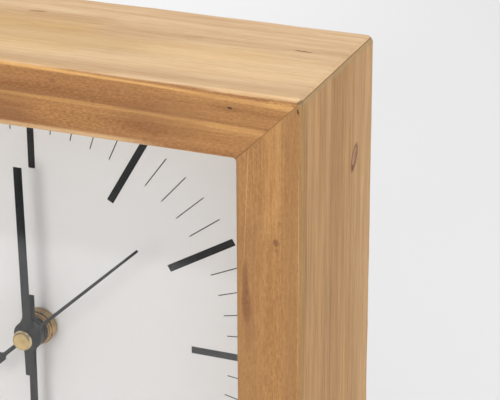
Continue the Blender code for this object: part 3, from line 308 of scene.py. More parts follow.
# %% Board shape
HALF_MM = 100.0
THICK_MM = 20.5
DEPTH_HALF_MM = 30.0
OUTER_EDGE_MM = 1.6
CORNER_EDGE_MM = 2.1
INNER_EDGE_MM = 1.3
INNER_CORNER_MM = 1.0
MITRE_GAP_MM = 0.02
GROOVE_MM = 4.0
PANE_GROOVE_MM = (-24.1, -21.9)
DIAL_GROOVE_MM = (-0.2, 3.95)
FACE_LINES_MM = {"front": (5.0, 10.0, 15.0), "back": (12.0, 6.0), "outer": 8.0}
ARC_STEPS = 8
BOARD_TURNS = {"top_board": 0.0, "right_board": pi / 2, "bottom_board": pi, "left_board": -pi / 2}


def edge_radius(along, seed):
    """The outer edge's radius, in mm, at a place along the board. It is the same at all board ends."""
    fade = max(0.0, 1.0 - (abs(along) / HALF_MM) ** 8)
    wander = noise.noise(Vector((along * 0.045, seed, 0.0)))
    wander += 0.5 * noise.noise(Vector((along * 0.16, seed, 3.0)))
    return OUTER_EDGE_MM * (1.0 + 0.28 * fade * wander)


def board_section(radius):
    """Section of a board as (y, distance from the outer face), in mm."""
    arc = quarter_turn(ARC_STEPS)
    front = -DEPTH_HALF_MM
    back = DEPTH_HALF_MM
    edge = INNER_EDGE_MM
    inner = THICK_MM - edge
    section = [(front + radius - radius * sin(a), radius - radius * cos(a)) for a in arc]
    section += [(front, inward) for inward in FACE_LINES_MM["front"]]
    section += [(front + edge - edge * cos(a), inner + edge * sin(a)) for a in arc]
    for low, high in (PANE_GROOVE_MM, DIAL_GROOVE_MM):
        floor = THICK_MM - GROOVE_MM
        section += [(low, THICK_MM), (low, floor), (high, floor), (high, THICK_MM)]
    section += [(back - edge + edge * sin(a), inner + edge * cos(a)) for a in arc]
    section += [(back, inward) for inward in FACE_LINES_MM["back"]]
    section += [(back - radius + radius * cos(a), radius - radius * sin(a)) for a in arc]
    from_edge = FACE_LINES_MM["outer"]
    section += [(back - from_edge, 0.0), (0.0, 0.0), (front + from_edge, 0.0)]
    return section


def board_slices():
    """Places along the outer face, in mm, close together where the corner is rounded."""
    ends = [HALF_MM - CORNER_EDGE_MM * (1.0 - tan(step / 6 * pi / 4)) for step in range(7)]
    inner = HALF_MM * (HALF_MM - THICK_MM - INNER_CORNER_MM) / (HALF_MM - THICK_MM)
    near = [inner + (HALF_MM - inner) * step / 4 for step in range(4)]
    middle = [ends[0] * step / 24 for step in range(24)]
    half = sorted(set(round(x, 3) for x in middle + near + ends))
    return [-x for x in reversed(half[1:])] + half


def drawn_in(x, inward, centre, depth_centre, arc_radius):
    """Moves a point that lies beyond the arc round (centre, depth_centre) of a corner onto that arc."""
    beyond = abs(x) - centre
    above = depth_centre - inward
    reach = hypot(beyond, above)
    if beyond <= 0.0 or above <= 0.0 or reach <= arc_radius:
        return x, inward
    share = arc_radius / reach
    return (centre + beyond * share) * (1 if x > 0 else -1), depth_centre - above * share


def board_mesh(name, seed):
    work = bmesh.new()
    rings = []
    opening = HALF_MM - THICK_MM - INNER_CORNER_MM
    for along in board_slices():
        radius = edge_radius(along, seed)
        ring = []
        for y, inward in board_section(radius):
            x = along * (HALF_MM - inward - MITRE_GAP_MM) / HALF_MM
            if inward < CORNER_EDGE_MM:
                corner = HALF_MM - CORNER_EDGE_MM
                x, inward = drawn_in(x, inward, corner, CORNER_EDGE_MM, CORNER_EDGE_MM - inward)
            elif inward > THICK_MM - GROOVE_MM + 1.0:
                fillet = INNER_CORNER_MM + max(0.0, THICK_MM - inward)
                x, inward = drawn_in(x, inward, opening, HALF_MM - opening, fillet)
            ring.append(work.verts.new(Vector((x, y, HALF_MM - inward)) * MM))
        rings.append(ring)
    skin(work, rings, capped=True)
    turn = Matrix.Rotation(BOARD_TURNS[name], 4, "Y")
    bmesh.ops.transform(work, matrix=Matrix.Translation((0.0, 0.0, HUB_HEIGHT)) @ turn, verts=work.verts)
    return closed_mesh(work, name)


board_meshes = {name: board_mesh(name, seed) for seed, name in enumerate(BOARD_TURNS)}
print("faces of one board:", len(board_meshes["top_board"].polygons))

# %% [markdown]
# Oiled softwood is built up in the order in which it is looked at. First comes the plain colour of a face:
# the broad outer faces are pale and streaked along the grain, the narrow front faces are a deeper, mottled
# orange brown. Then come long soft streaks, short fibres and pores, each a noise stretched along the grain.
# An image would not agree from face to face, so all of it is worked out in the board's own space, in
# millimetres: along the grain, across the depth, and inward from the outer face.

# %% Board space and face colours
BOARD_FRAMES = {
    "top_board": ((1000.0, 1000.0, -1000.0), (0.0, 0.0, 0.0), (0.0, 0.0, 200.0)),
    "right_board": ((1000.0, 1000.0, 1000.0), (0.0, pi / 2, 0.0), (-100.0, 0.0, 100.0)),
    "bottom_board": ((1000.0, 1000.0, 1000.0), (0.0, 0.0, 0.0), (0.0, 0.0, 0.0)),
    "left_board": ((1000.0, 1000.0, 1000.0), (0.0, -pi / 2, 0.0), (100.0, 0.0, 100.0)),
}
OUTER_TONES = {
    "top_board": ((0.70, 0.50, 0.30), (0.555, 0.345, 0.180)),
    "right_board": ((0.485, 0.277, 0.117), (0.325, 0.170, 0.063)),
    "bottom_board": ((0.50, 0.30, 0.145), (0.37, 0.20, 0.088)),
    "left_board": ((0.53, 0.32, 0.155), (0.39, 0.215, 0.095)),
}
FRONT_TONES = {
    "top_board": ((0.425, 0.203, 0.076), (0.246, 0.103, 0.035)),
    "right_board": ((0.450, 0.237, 0.088), (0.338, 0.161, 0.057)),
    "bottom_board": ((0.430, 0.210, 0.080), (0.265, 0.115, 0.040)),
    "left_board": ((0.440, 0.220, 0.084), (0.270, 0.120, 0.043)),
}
# Gold and cream colour grain lines and streaks, and also painted highlights on rounded edges.
GOLD_GRAIN_AND_HIGHLIGHT = (0.72, 0.40, 0.140)
CREAM_GRAIN_AND_HIGHLIGHT = (0.74, 0.50, 0.27)
AMBER = (0.66, 0.42, 0.130)
SIENNA = (0.34, 0.175, 0.070)
UMBER = (0.20, 0.085, 0.040)
JOINT_BROWN = (0.185, 0.080, 0.030)
KNOT_RIM = (0.150, 0.062, 0.026)
KNOT_HEART = (0.41, 0.205, 0.115)
OLIVE = (0.345, 0.200, 0.082)
WORN = (0.36, 0.245, 0.125)
PORE = (0.055, 0.030, 0.018)
RESIN = (0.075, 0.034, 0.016)
print("face colours for", len(OUTER_TONES), "boards")

# %% [markdown]
# Marks come in two shapes. A spot is an oval on one face: a knot, a pore or a drop of resin. A strip runs
# along the board: the edge of a growth ring, a pale streak or a stain. A strip may drift across the board,
# fade in and out along it and waver with the wood, because a straight even line would look drawn.

# %% Spots and strips
SPAN_FADE_MM = 6.0
WHOLE = (-120, 120)
STRAIGHT = (0, 0)


def spot(finish, along, across, centre, size, turn, soft):
    """1 inside an oval of these half sizes on a face, 0 outside it."""
    first = along - centre[0]
    second = across - centre[1]
    length = (first * cos(turn) + second * sin(turn)) / size[0]
    width = (second * cos(turn) - first * sin(turn)) / size[1]
    return finish.between(length ** 2.0 + width ** 2.0, 1.0 + soft, max(0.0, 1.0 - soft))


def strip(finish, along, across, centre, half, soft, span=WHOLE, bend=STRAIGHT):
    """1 on a strip along the board, 0 off it.

    soft is how far its edges fade, span where it starts and ends. bend is drift per mm and curve per mm
    squared, because a ring's edge runs across the face in a shallow curve."""
    middle = (along * bend[1] + bend[0]) * along + centre
    inside = finish.between(abs(across - middle), half + soft, half * 0.5)
    begun = finish.between(along, span[0] - SPAN_FADE_MM, span[0] + SPAN_FADE_MM)
    ended = finish.between(along, span[1] + SPAN_FADE_MM, span[1] - SPAN_FADE_MM)
    return inside * (begun * ended)


print("marks ready")

# %% [markdown]
# The finish puts these together. The front's colour starts low on the rounded edge, because sanding leaves
# the edge paler than the face. At the mitre the right board's corner is rubbed to a dull tan, and the joint
# shows as a thin brown line. Oil darkens the grain's streaks more in blue than in red, so the shade is
# raised to a higher power for green and blue.

# %% Wood finish
FRONT_MM = (-29.35, -29.85)
ARRIS_MM = (-28.5, -29.0)
OUTER_FACE_MM = (1.2, 0.6)
# Where the painted highlight on the rounded inner front edge lies, in mm.
INNER_HIGHLIGHT_MM = (18.3, 19.2)
INNER_HIGHLIGHT_DEPTH_MM = (-28.4, -29.0)
WORN_REACH_MM = 2.4
WORN_DEPTH_MM = (2.6, 1.8)
WAVER_MM = 3.0
STRIP_WAVER = 0.12
SPOT_WAVER_MM = 0.7
FRONT_STREAK = 0.045
FRONT_FLECK = 0.30
JOINT_MM = (0.36, 0.10)
JOINT_OUTSIDE = 0.72
PATCHY_FROM = 0.9
GREEN_POWER, BLUE_POWER = 1.45, 2.0
OUTER_SHARES = {"broad": 0.42, "middle": 0.28, "fine": 0.30}
FRONT_SHARES = {"broad": 0.28, "middle": 0.22, "mottle": 0.50}
LATE_WOOD, LATE_WOOD_END = (0.45, 0.97), (1.0, 0.985)
BROKEN_STRIP = (0.22, 0.55, 0.50, 1.0)
PATCHY_SPOT = (0.35, 0.62, 0.45, 1.15)
RAGGED_MM = 2.4
FLECK_SCALE = (1.4, 4.0, 4.0)
JOINT_DEEPENS = (12.0, 17.0, 0.32, 0.62)
JOINT_PATCHES = (0.35, 0.65, -0.12, 0.12)
OILED_GLOSS = 0.18
GRAIN_RELIEF = 0.00007
GRAIN_SCALES = {"broad": (0.007, 0.11, 0.11), "middle": (0.016, 0.36, 0.36), "fine": (0.035, 1.25, 1.25),
                "fibre": (0.20, 4.2, 4.2), "mottle": (0.75, 2.6, 2.6)}


def grain(finish, local, seed):
    """Noises stretched along the grain, from streaks ten millimetres wide down to single fibres."""
    made = {}
    for number, (name, scale) in enumerate(GRAIN_SCALES.items()):
        shift = (seed * 1.7 + number, seed, seed * 0.6)
        made[name] = finish.noise(finish.mapped(local, scale, shift=shift), 1.0, 4.0, 0.58, 0.15)
    return made


def blend(noises, shares):
    """The sum of these shares of the noises."""
    first, *others = (noises[name] * share for name, share in shares.items())
    for other in others:
        first = first + other
    return first


def wood(name, seed, ring, worn, inner_highlight, streak, strips, spots):
    """The finish of one board.

    ring is (place on the outer face, drift, place on the front, contrast outside, contrast on the front).
    streak is how strongly the fine streaks of the outer face lighten and darken it."""
    finish = Finish("softwood_" + name)
    local = finish.mapped(finish.place, *BOARD_FRAMES[name])
    along, depth, inward = finish.split(local)
    noises = grain(finish, local, seed)
    broad, middle, fine, fibre, mottle = noises.values()
    waver = (broad - 0.5) * WAVER_MM
    front = finish.between(depth, *FRONT_MM)
    outer_tone = finish.between(blend(noises, OUTER_SHARES), 0.35, 0.65)
    front_tone = finish.between(blend(noises, FRONT_SHARES), 0.37, 0.63)
    outer = finish.mix(outer_tone, *reversed(OUTER_TONES[name]))
    face = finish.mix(front_tone, *reversed(FRONT_TONES[name]))
    colour = finish.mix(front, outer, face)

    outer_at, drift, front_at, outer_share, front_share = ring
    start = along * drift + outer_at + waver
    slope = (start - depth) / (start + DEPTH_HALF_MM)
    phase = (slope + inward / front_at + 4.0).math("FRACT")
    late = finish.between(phase, *LATE_WOOD) * finish.between(phase, *LATE_WOOD_END)
    strength = front * (front_share - outer_share) + outer_share
    colour = finish.mix(late * strength, colour, SIENNA)

    faces = {"front": (inward, front), "arris": (inward, finish.between(depth, *ARRIS_MM)),
             "outer": (depth, finish.between(inward, *OUTER_FACE_MM))}
    broken = finish.between(fine, *BROKEN_STRIP)
    patchy = finish.between(mottle, *PATCHY_SPOT)
    for face_name, rows in strips.items():
        across, mask = faces[face_name]
        across = waver * STRIP_WAVER + across
        for centre, half, soft, line_colour, share, *span_and_bend in rows:
            here = strip(finish, along, across, centre, half, soft, *span_and_bend)
            colour = finish.mix(here * mask * broken * share, colour, line_colour)
    for face_name, rows in spots.items():
        across, mask = faces[face_name]
        across = mottle * SPOT_WAVER_MM + (across - SPOT_WAVER_MM / 2)
        for centre, size, turn, soft, mark_colour, share in rows:
            here = spot(finish, along, across, centre, size, turn, soft)
            if soft >= PATCHY_FROM:
                here = here * patchy
            colour = finish.mix(here * mask * share, colour, mark_colour)

    # Painted highlight: a cream band on the rounded inner front edge, where that edge catches the light.
    inner_highlight_share, inner_highlight_span = inner_highlight
    inner_highlight_mask = finish.between(inward, *INNER_HIGHLIGHT_MM) * finish.between(depth, *INNER_HIGHLIGHT_DEPTH_MM)
    inner_highlight_mask = inner_highlight_mask * finish.between(along, inner_highlight_span[1], inner_highlight_span[0])
    colour = finish.mix(inner_highlight_mask * inner_highlight_share, colour, CREAM_GRAIN_AND_HIGHLIGHT)
    to_end = HALF_MM - abs(along)
    ragged_end = middle * RAGGED_MM + (to_end - RAGGED_MM / 2)
    corner = finish.between(ragged_end, WORN_REACH_MM, WORN_REACH_MM * 0.55)
    corner = corner * finish.between(inward, *WORN_DEPTH_MM)
    colour = finish.mix(corner * worn, colour, WORN)

    fleck = finish.noise(finish.mapped(local, FLECK_SCALE, shift=(seed, 0.0, seed)), 1.0, 2.0, 0.6)
    streaks = finish.between(fine, 0.3, 0.7, -1.0, 1.0) * (front * (FRONT_STREAK - streak) + streak)
    shade = streaks + finish.between(fibre, 0.28, 0.72, 0.93, 1.06)
    shade = front * FRONT_FLECK * (fleck - 0.5) + shade
    tone = finish.joined(shade, shade ** GREEN_POWER, shade ** BLUE_POWER)
    colour = finish.mix(1.0, colour, tone, "MULTIPLY")
    on_front = finish.between(inward, *JOINT_DEEPENS) + finish.between(mottle, *JOINT_PATCHES)
    joint_share = front * on_front + (front * -JOINT_OUTSIDE + JOINT_OUTSIDE)
    joint = finish.between(to_end - inward, *JOINT_MM) * joint_share
    finish.colour(finish.mix(joint, colour, JOINT_BROWN))
    finish.rough(finish.between(fine, 0.25, 0.75, 0.50, 0.64))
    finish.shader.inputs["Specular IOR Level"].default_value = OILED_GLOSS
    finish.bump(fine * 0.4 + fibre * 0.6, GRAIN_RELIEF)
    return finish


print("wood finish ready")

# %% [markdown]
# Two boards face the photograph, so their marks follow it. The top board has a small knot, a short dark
# streak and a ring that crosses its front as a golden line. The right board has a tilted knot on its side,
# a small one on its front, and a few cream and umber lines along the grain. The other two boards are out of
# the picture: they get marks of the same kinds in places of their own. A strip's row is its place across
# the face, half its width, its soft edge, its colour and its strength, then where it starts and ends and
# how it bends. A spot's row is its place, its half sizes, its turn, its soft edge, its colour and its
# strength.

# %% Marks of the four boards
RING_BEND = (0, 0.00021)
ALL_ALONG = (200, 210)
BOARD_MARKS = {
    "top_board": {
        "ring": (-1.5, 0.1, 9.6, 0.1, 0.1), "worn": 0.18, "inner_highlight": (0.55, (40, 62)), "streak": 0.03,
        "strips": {
            # The gold and cream strips on the rounded front edge are painted highlight; the cream one is also
            # wear.
            "arris": [
                (0.95, 0.26, 0.5, GOLD_GRAIN_AND_HIGHLIGHT, 0.8, (-120, 66), RING_BEND),
                (1.25, 0.5, 0.55, GOLD_GRAIN_AND_HIGHLIGHT, 0.5, (62, 120), RING_BEND),
                (0.55, 0.1, 0.34, SIENNA, 0.42, (30, 68), RING_BEND),
                (0.45, 0.45, 0.45, CREAM_GRAIN_AND_HIGHLIGHT, 0.75, (72, 120)),
                (0.1, 0.15, 0.25, SIENNA, 0.25, (-120, 40))],
            "front": [
                (8.85, 0.35, 0.6, UMBER, 0.22, WHOLE, RING_BEND),
                (9.75, 0.35, 0.6, GOLD_GRAIN_AND_HIGHLIGHT, 0.36, (-120, 66), RING_BEND),
                (9.85, 0.45, 0.8, GOLD_GRAIN_AND_HIGHLIGHT, 0.46, (66, 120), RING_BEND),
                (10.9, 0.5, 2.6, GOLD_GRAIN_AND_HIGHLIGHT, 0.15, WHOLE, RING_BEND),
                (2.6, 0.5, 2.2, GOLD_GRAIN_AND_HIGHLIGHT, 0.13, WHOLE, RING_BEND),
                (11, 6.5, 3, GOLD_GRAIN_AND_HIGHLIGHT, 0.13, (58, 120))],
            "outer": [
                (5, 1.6, 2.6, SIENNA, 0.16, (20, 120), (0.05, 0)),
                (8, 6, 5, SIENNA, 0.22, (-120, 20)),
                (-18, 2.6, 3.5, CREAM_GRAIN_AND_HIGHLIGHT, 0.36, (-60, 90), (0.02, 0)),
                (-4, 12, 7, AMBER, 0.34, (-120, 22)),
                (-8, 5, 4, AMBER, 0.26, (22, 80), (0.08, 0)),
                (-9, 8, 5, CREAM_GRAIN_AND_HIGHLIGHT, 0.38, (50, 120)),
                (-26.5, 1.6, 2.4, SIENNA, 0.2, (-20, 120), (0.01, 0)),
                (-6, 5.5, 4, SIENNA, 0.22, (-120, 40))]},
        "spots": {
            "outer": [
                ((-3.4, 13.5), (3, 0.75), 0.1, 0.7, SIENNA, 0.75),
                ((85.7, 8), (2.9, 0.28), -0.06, 0.4, RESIN, 0.95),
                ((51, 8.5), (3.6, 0.9), 0.2, 0.9, SIENNA, 0.35),
                ((90.9, 1.2), (3, 0.8), 0.2, 0.9, CREAM_GRAIN_AND_HIGHLIGHT, 0.55)],
            "front": [
                ((78.1, 5.2), (0.8, 0.34), 0.1, 0.6, PORE, 0.95),
                ((78.3, 5.3), (3, 0.9), 0, 0.9, UMBER, 0.3),
                ((22.9, 4.4), (0.9, 0.8), 0, 0.9, UMBER, 0.45),
                ((55, 16.6), (1, 0.6), 0, 0.9, UMBER, 0.4),
                ((6, 16.6), (9, 2), 0.03, 1, UMBER, 0.28),
                ((30, 14.5), (14, 3.4), 0, 1, GOLD_GRAIN_AND_HIGHLIGHT, 0.16),
                ((58, 11), (13, 5.5), 0, 1, UMBER, 0.26),
                ((5, 13.5), (11, 5.5), 0, 1, UMBER, 0.24)],
            "arris": [
                ((94, 2.6), (5, 1.2), 0, 1, GOLD_GRAIN_AND_HIGHLIGHT, 0.5),
                ((98.8, 0.8), (0.9, 0.4), -0.7, 0.6, PORE, 0.7)]}},
    "right_board": {
        "ring": (-16, 0.01, 13.6, 0.03, 0.04), "worn": 0.75, "inner_highlight": (0, ALL_ALONG), "streak": 0.068,
        "strips": {
            "arris": [
                (0.45, 0.6, 0.4, OLIVE, 0.85),
                (1.28, 0.05, 0.13, CREAM_GRAIN_AND_HIGHLIGHT, 0.34, (14, 78))],
            "front": [
                (3.6, 2.4, 0.7, SIENNA, 0.48),
                (9.4, 2.2, 1.6, GOLD_GRAIN_AND_HIGHLIGHT, 0.22, (58, 120)),
                (15.3, 2.8, 2.2, SIENNA, 0.24, (-120, 66)),
                (6.3, 0.12, 0.25, UMBER, 0.26, (30, 92)),
                # The next cream line, on the rounded inner edge, is a painted highlight.
                (20.15, 0.05, 0.15, CREAM_GRAIN_AND_HIGHLIGHT, 0.34, (46, 82), (-0.045, 0)),
                (16.5, 2.6, 1.6, UMBER, 0.15, (-120, 60)),
                (19.2, 0.6, 0.6, SIENNA, 0.38)],
            "outer": [
                (-28.9, 0.75, 0.5, OLIVE, 0.7),
                (-25.95, 0.08, 0.18, CREAM_GRAIN_AND_HIGHLIGHT, 0.42, (20, 90)),
                (-16.2, 0.35, 0.6, UMBER, 0.26, (55, 120)),
                (-13.9, 0.1, 0.22, CREAM_GRAIN_AND_HIGHLIGHT, 0.32, (34, 78)),
                (-9.5, 1, 1.8, CREAM_GRAIN_AND_HIGHLIGHT, 0.14),
                (-6.2, 0.18, 0.35, UMBER, 0.32, (-120, 42)),
                (-2.6, 1.6, 2.4, SIENNA, 0.36),
                (25, 4, 15, CREAM_GRAIN_AND_HIGHLIGHT, 0.21)]},
        "spots": {
            "outer": [
                ((66.9, 13.4), (4.3, 2.5), 0.5, 0.4, KNOT_RIM, 0.84),
                ((67.2, 13.3), (2.9, 1.45), 0.5, 0.5, KNOT_HEART, 0.9),
                ((67.4, 14.3), (0.8, 0.45), 0.5, 0.7, KNOT_RIM, 0.5),
                ((63.9, 11.9), (1.1, 1), 0.5, 0.7, KNOT_RIM, 0.8)],
            "front": [
                ((55.8, 8.1), (1.1, 0.9), 0.4, 0.5, UMBER, 0.7),
                ((53.4, 8), (0.55, 0.5), 0, 0.8, UMBER, 0.5),
                ((61.8, 7), (0.7, 0.5), 0, 0.8, UMBER, 0.4),
                ((42.5, 17.5), (5.5, 0.9), 0.02, 0.9, UMBER, 0.66),
                ((35, 17.3), (5.5, 1.3), 0.03, 0.9, UMBER, 0.66),
                ((30, 16.6), (9, 1.6), 0.05, 1, UMBER, 0.28),
                ((96.4, 1.6), (0.9, 0.3), 0.3, 0.5, PORE, 0.8)],
            "arris": [((98.9, 0.9), (1, 0.45), 0.7, 0.6, PORE, 0.8)]}},
    "bottom_board": {
        "ring": (5, -0.04, 8.4, 0.1, 0.1), "worn": 0.4, "inner_highlight": (0.35, ALL_ALONG), "streak": 0.06,
        "strips": {
            "arris": [(0.6, 0.35, 0.5, CREAM_GRAIN_AND_HIGHLIGHT, 0.3)],
            "front": [(8.8, 0.5, 0.8, GOLD_GRAIN_AND_HIGHLIGHT, 0.34, WHOLE, RING_BEND)],
            "outer": [(9, 2, 3, CREAM_GRAIN_AND_HIGHLIGHT, 0.25)]},
        "spots": {
            "front": [((-37, 12), (1.3, 0.9), 0.3, 0.6, KNOT_RIM, 0.6)]}},
    "left_board": {
        "ring": (9, 0.03, 12, 0.08, 0.1), "worn": 0.5, "inner_highlight": (0.25, ALL_ALONG), "streak": 0.07,
        "strips": {
            "arris": [(0.6, 0.35, 0.5, CREAM_GRAIN_AND_HIGHLIGHT, 0.3)],
            "front": [(12.6, 0.5, 0.8, GOLD_GRAIN_AND_HIGHLIGHT, 0.3, WHOLE, (-0.008, 0))],
            "outer": [(-4, 0.2, 0.4, UMBER, 0.3, WHOLE, (0.01, 0))]},
        "spots": {
            "outer": [((-22, -9), (4, 1.6), -0.4, 0.4, KNOT_RIM, 0.6)]}},
}
for seed, (board_name, mesh) in enumerate(board_meshes.items()):
    board_finish = wood(board_name, 1.0 + 6.5 * seed, **BOARD_MARKS[board_name])
    add_piece(board_name + "_oiled", mesh, board_finish.material, "case", [board_name], 35.0)

# %% [markdown]
# The pane is 2 mm clear glass in a groove. A solid glass shader would block the lamps behind it, so each
# face of the pane is a window of its own: most light goes straight through, and a small share is mirrored,
# more of it at a glancing angle. The pale floor mirrored in the pane gives the soft veil over the lower
# half of the dial.

# %% Glass pane
GLASS_HEAD_ON = 0.036
SMEAR_SCALE = (20.0, 20.0, 45.0)
SMEAR_TURN = 0.5


def clear_glass():
    finish = Finish("clear_glass")
    finish.tree.nodes.remove(finish.shader)
    facing = Value(finish.step("ShaderNodeLayerWeight", {"Blend": 0.5}).outputs["Facing"])
    mirrored = facing ** 5.0 * (1.0 - GLASS_HEAD_ON) + GLASS_HEAD_ON
    through = finish.step("ShaderNodeBsdfTransparent", {"Color": (0.985, 0.99, 0.988)})
    place = finish.mapped(finish.place, SMEAR_SCALE, turn=(0.0, SMEAR_TURN, 0.0))
    smear = finish.between(finish.noise(place, 1.0, 4.0, 0.6), 0.35, 0.75, 0.01, 0.06)
    shine = finish.step("ShaderNodeBsdfGlossy", {"Color": (1.0, 1.0, 1.0), "Roughness": smear})
    both = finish.step("ShaderNodeMixShader", {"Fac": mirrored, 1: through.outputs[0], 2: shine.outputs[0]})
    feed(finish.surface, both.outputs[0])
    return finish


paint_node("glass_pane", clear_glass())
print("the pane mirrors", GLASS_HEAD_ON, "of the light head on")

# %% [markdown]
# The dial is a matt off-white card with twelve bold bars and forty eight hairlines printed on it, and no
# figures. The card is a thin plate with a hole for the shaft. The print sits about a millimetre off the
# hub, as on the real clock, so it is a piece of its own and not part of the card.

# %% Dial card
CARD_LOW, CARD_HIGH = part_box("dial_board")
PANE_TO_CARD = 0.024
CARD_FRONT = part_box("glass_pane")[0].y + PANE_TO_CARD
CARD_THICK = 0.0005
CARD_HOLE = 0.0043


def plate_with_hole(name, half_width, low, high, front, back, hole, steps=48):
    """A flat plate in front of the hub, with a round hole at the hub."""
    work = bmesh.new()
    half_height = (high - low) / 2
    rings = []
    for y in (front, back):
        square = []
        circle = []
        for step in range(steps):
            angle = 2 * pi * step / steps
            reach = 1.0 / max(abs(cos(angle)), abs(sin(angle)))
            circle.append(work.verts.new((hole * cos(angle), y, HUB_HEIGHT + hole * sin(angle))))
            square.append(work.verts.new((half_width * reach * cos(angle), y,
                                          HUB_HEIGHT + half_height * reach * sin(angle))))
        rings += [square, circle]
    outer_front, inner_front, outer_back, inner_back = rings
    skin(work, [outer_front, inner_front, inner_back, outer_back, outer_front])
    return closed_mesh(work, name)


def printed_card():
    finish = Finish("matt_card")
    fibres = finish.noise(finish.place, 900.0, 4.0, 0.6)
    cloud = finish.noise(finish.place, 16.0, 3.0)
    finish.colour(finish.mix(finish.between(cloud, 0.3, 0.7), (0.786, 0.760, 0.753), (0.804, 0.782, 0.778)))
    finish.rough(finish.between(fibres, 0.3, 0.7, 0.72, 0.9))
    finish.bump(fibres, 0.00002)
    return finish


card_mesh = plate_with_hole("dial_card", CARD_HIGH.x, CARD_LOW.z, CARD_HIGH.z, CARD_FRONT,
                            CARD_FRONT + CARD_THICK, CARD_HOLE)
add_piece("dial_card", card_mesh, printed_card().material, "case", ["dial_face"])

# %% [markdown]
# The marks repeat round a circle, which is a job for Geometry Nodes: a few points, a small bar at each of
# them, and a turn that grows with the point's number. The same tree makes the twelve bars and, with every
# fifth place left out, the hairlines.

# %% Dial marks
PRINT_SHIFT = (-0.0009, 0.00036)
INK_THICK = 0.00006
INK_SUNK = 0.00001
RING_INPUTS = ("Inner Radius", "Outer Radius", "Width", "Thickness", "Front")
HOUR_MARK = {"Count": 12, "Leave Out Every": 0, "Inner Radius": 0.0531, "Outer Radius": 0.0780,
             "Width": 0.00232}
MINUTE_MARK = {"Count": 60, "Leave Out Every": 5, "Inner Radius": 0.0655, "Outer Radius": 0.0778,
               "Width": 0.00030}


def shape_tree(name, whole_inputs, real_inputs):
    """An empty Geometry Nodes tree and its named inputs, each as a value."""
    tree = bpy.data.node_groups.new(name, "GeometryNodeTree")
    tree.is_modifier = True
    tree.interface.new_socket("Geometry", in_out="OUTPUT", socket_type="NodeSocketGeometry")
    for names, kind in ((whole_inputs, "NodeSocketInt"), (real_inputs, "NodeSocketFloat")):
        for input_name in names:
            tree.interface.new_socket(input_name, in_out="INPUT", socket_type=kind)
    outputs = put_node(tree, "NodeGroupInput").outputs
    return tree, [Value(outputs[input_name]) for input_name in (*whole_inputs, *real_inputs)]


def end_tree(tree, shape, material):
    """Makes the instances real, paints them and hands them out."""
    real = put_node(tree, "GeometryNodeRealizeInstances", {"Geometry": shape}).outputs[0]
    painted = put_node(tree, "GeometryNodeSetMaterial", {"Geometry": real, "Material": material}).outputs[0]
    put_node(tree, "NodeGroupOutput", {"Geometry": painted})


def ring_tree(name, material):
    """A tree that lays bars in a ring round an axis along Y, each pointing at it."""
    tree, inputs = shape_tree(name, ("Count", "Leave Out Every"), RING_INPUTS)
    count, left_out, inner, outer, width, thickness, front = inputs
    index = Value(put_node(tree, "GeometryNodeInputIndex").outputs[0])
    angle = index * (2 * pi) / count
    middle = (inner + outer) * 0.5
    place = put_node(tree, "ShaderNodeCombineXYZ", {0: angle.math("SINE") * middle, 1: front,
                                                    2: angle.math("COSINE") * middle}).outputs[0]
    points = put_node(tree, "GeometryNodePoints", {"Count": count, "Position": place}).outputs[0]
    size = put_node(tree, "ShaderNodeCombineXYZ", {0: width, 1: thickness, 2: outer - inner}).outputs[0]
    bar = put_node(tree, "GeometryNodeMeshCube", {"Size": size}).outputs[0]
    turn = put_node(tree, "ShaderNodeCombineXYZ", {1: angle}).outputs[0]
    rest = index.math("FLOORED_MODULO", left_out.math("MAXIMUM", 1.0))
    kept = rest.math("GREATER_THAN", 0.5).math("MAXIMUM", left_out.math("LESS_THAN", 0.5))
    inputs = {"Points": points, "Selection": kept, "Instance": bar, "Rotation": turn}
    end_tree(tree, put_node(tree, "GeometryNodeInstanceOnPoints", inputs).outputs[0], material)
    return tree


def mesh_from_nodes(name, tree, values):
    """Runs a tree with these named inputs and keeps its result as a plain mesh."""
    holder = placed(name + "_maker", bpy.data.meshes.new(name + "_empty"))
    modifier = holder.modifiers.new("maker", "NODES")
    modifier.node_group = tree
    for item in tree.interface.items_tree:
        if item.in_out == "INPUT" and item.name in values:
            modifier[item.identifier] = values[item.name]
    bpy.context.view_layer.update()
    evaluated = holder.evaluated_get(bpy.context.evaluated_depsgraph_get())
    mesh = bpy.data.meshes.new_from_object(evaluated)
    mesh.name = name
    holder.modifiers.clear()
    bpy.data.objects.remove(holder)
    return mesh


def printed_ink():
    finish = Finish("printed_ink", roughness=0.6)
    speck = finish.noise(finish.place, 1400.0, 3.0, 0.6)
    specked = finish.between(speck, 0.35, 0.8)
    finish.colour(finish.mix(specked, (0.013, 0.012, 0.014), (0.024, 0.023, 0.025)))
    finish.bump(speck, 0.00001)
    return finish


ink = printed_ink()
ring_of_bars = ring_tree("ring_of_bars", ink.material)
for mark_name, sizes in (("hour_bars", HOUR_MARK), ("minute_hairlines", MINUTE_MARK)):
    front = CARD_FRONT - INK_THICK / 2 + INK_SUNK
    mesh = mesh_from_nodes(mark_name, ring_of_bars, {**sizes, "Thickness": INK_THICK, "Front": front})
    mesh.transform(Matrix.Translation((PRINT_SHIFT[0], 0.0, HUB_HEIGHT + PRINT_SHIFT[1])))
    add_piece(mark_name, mesh, ink.material, "case")

# %% [markdown]
# The nut, the cap and other turned parts are all round about the hub's axis. A profile spun about that axis
# gives each of them, with the small bevels a lathe leaves, because a bevel is what catches the light on
# metal.

# %% Turned brass
TURNED_STEPS = 96
TOOL_RINGS = 9000.0
# Where the painted shade on the brass's upper side starts and ends.
PAINTED_SHADE_FROM, PAINTED_SHADE_TO = 0.0, 0.0035
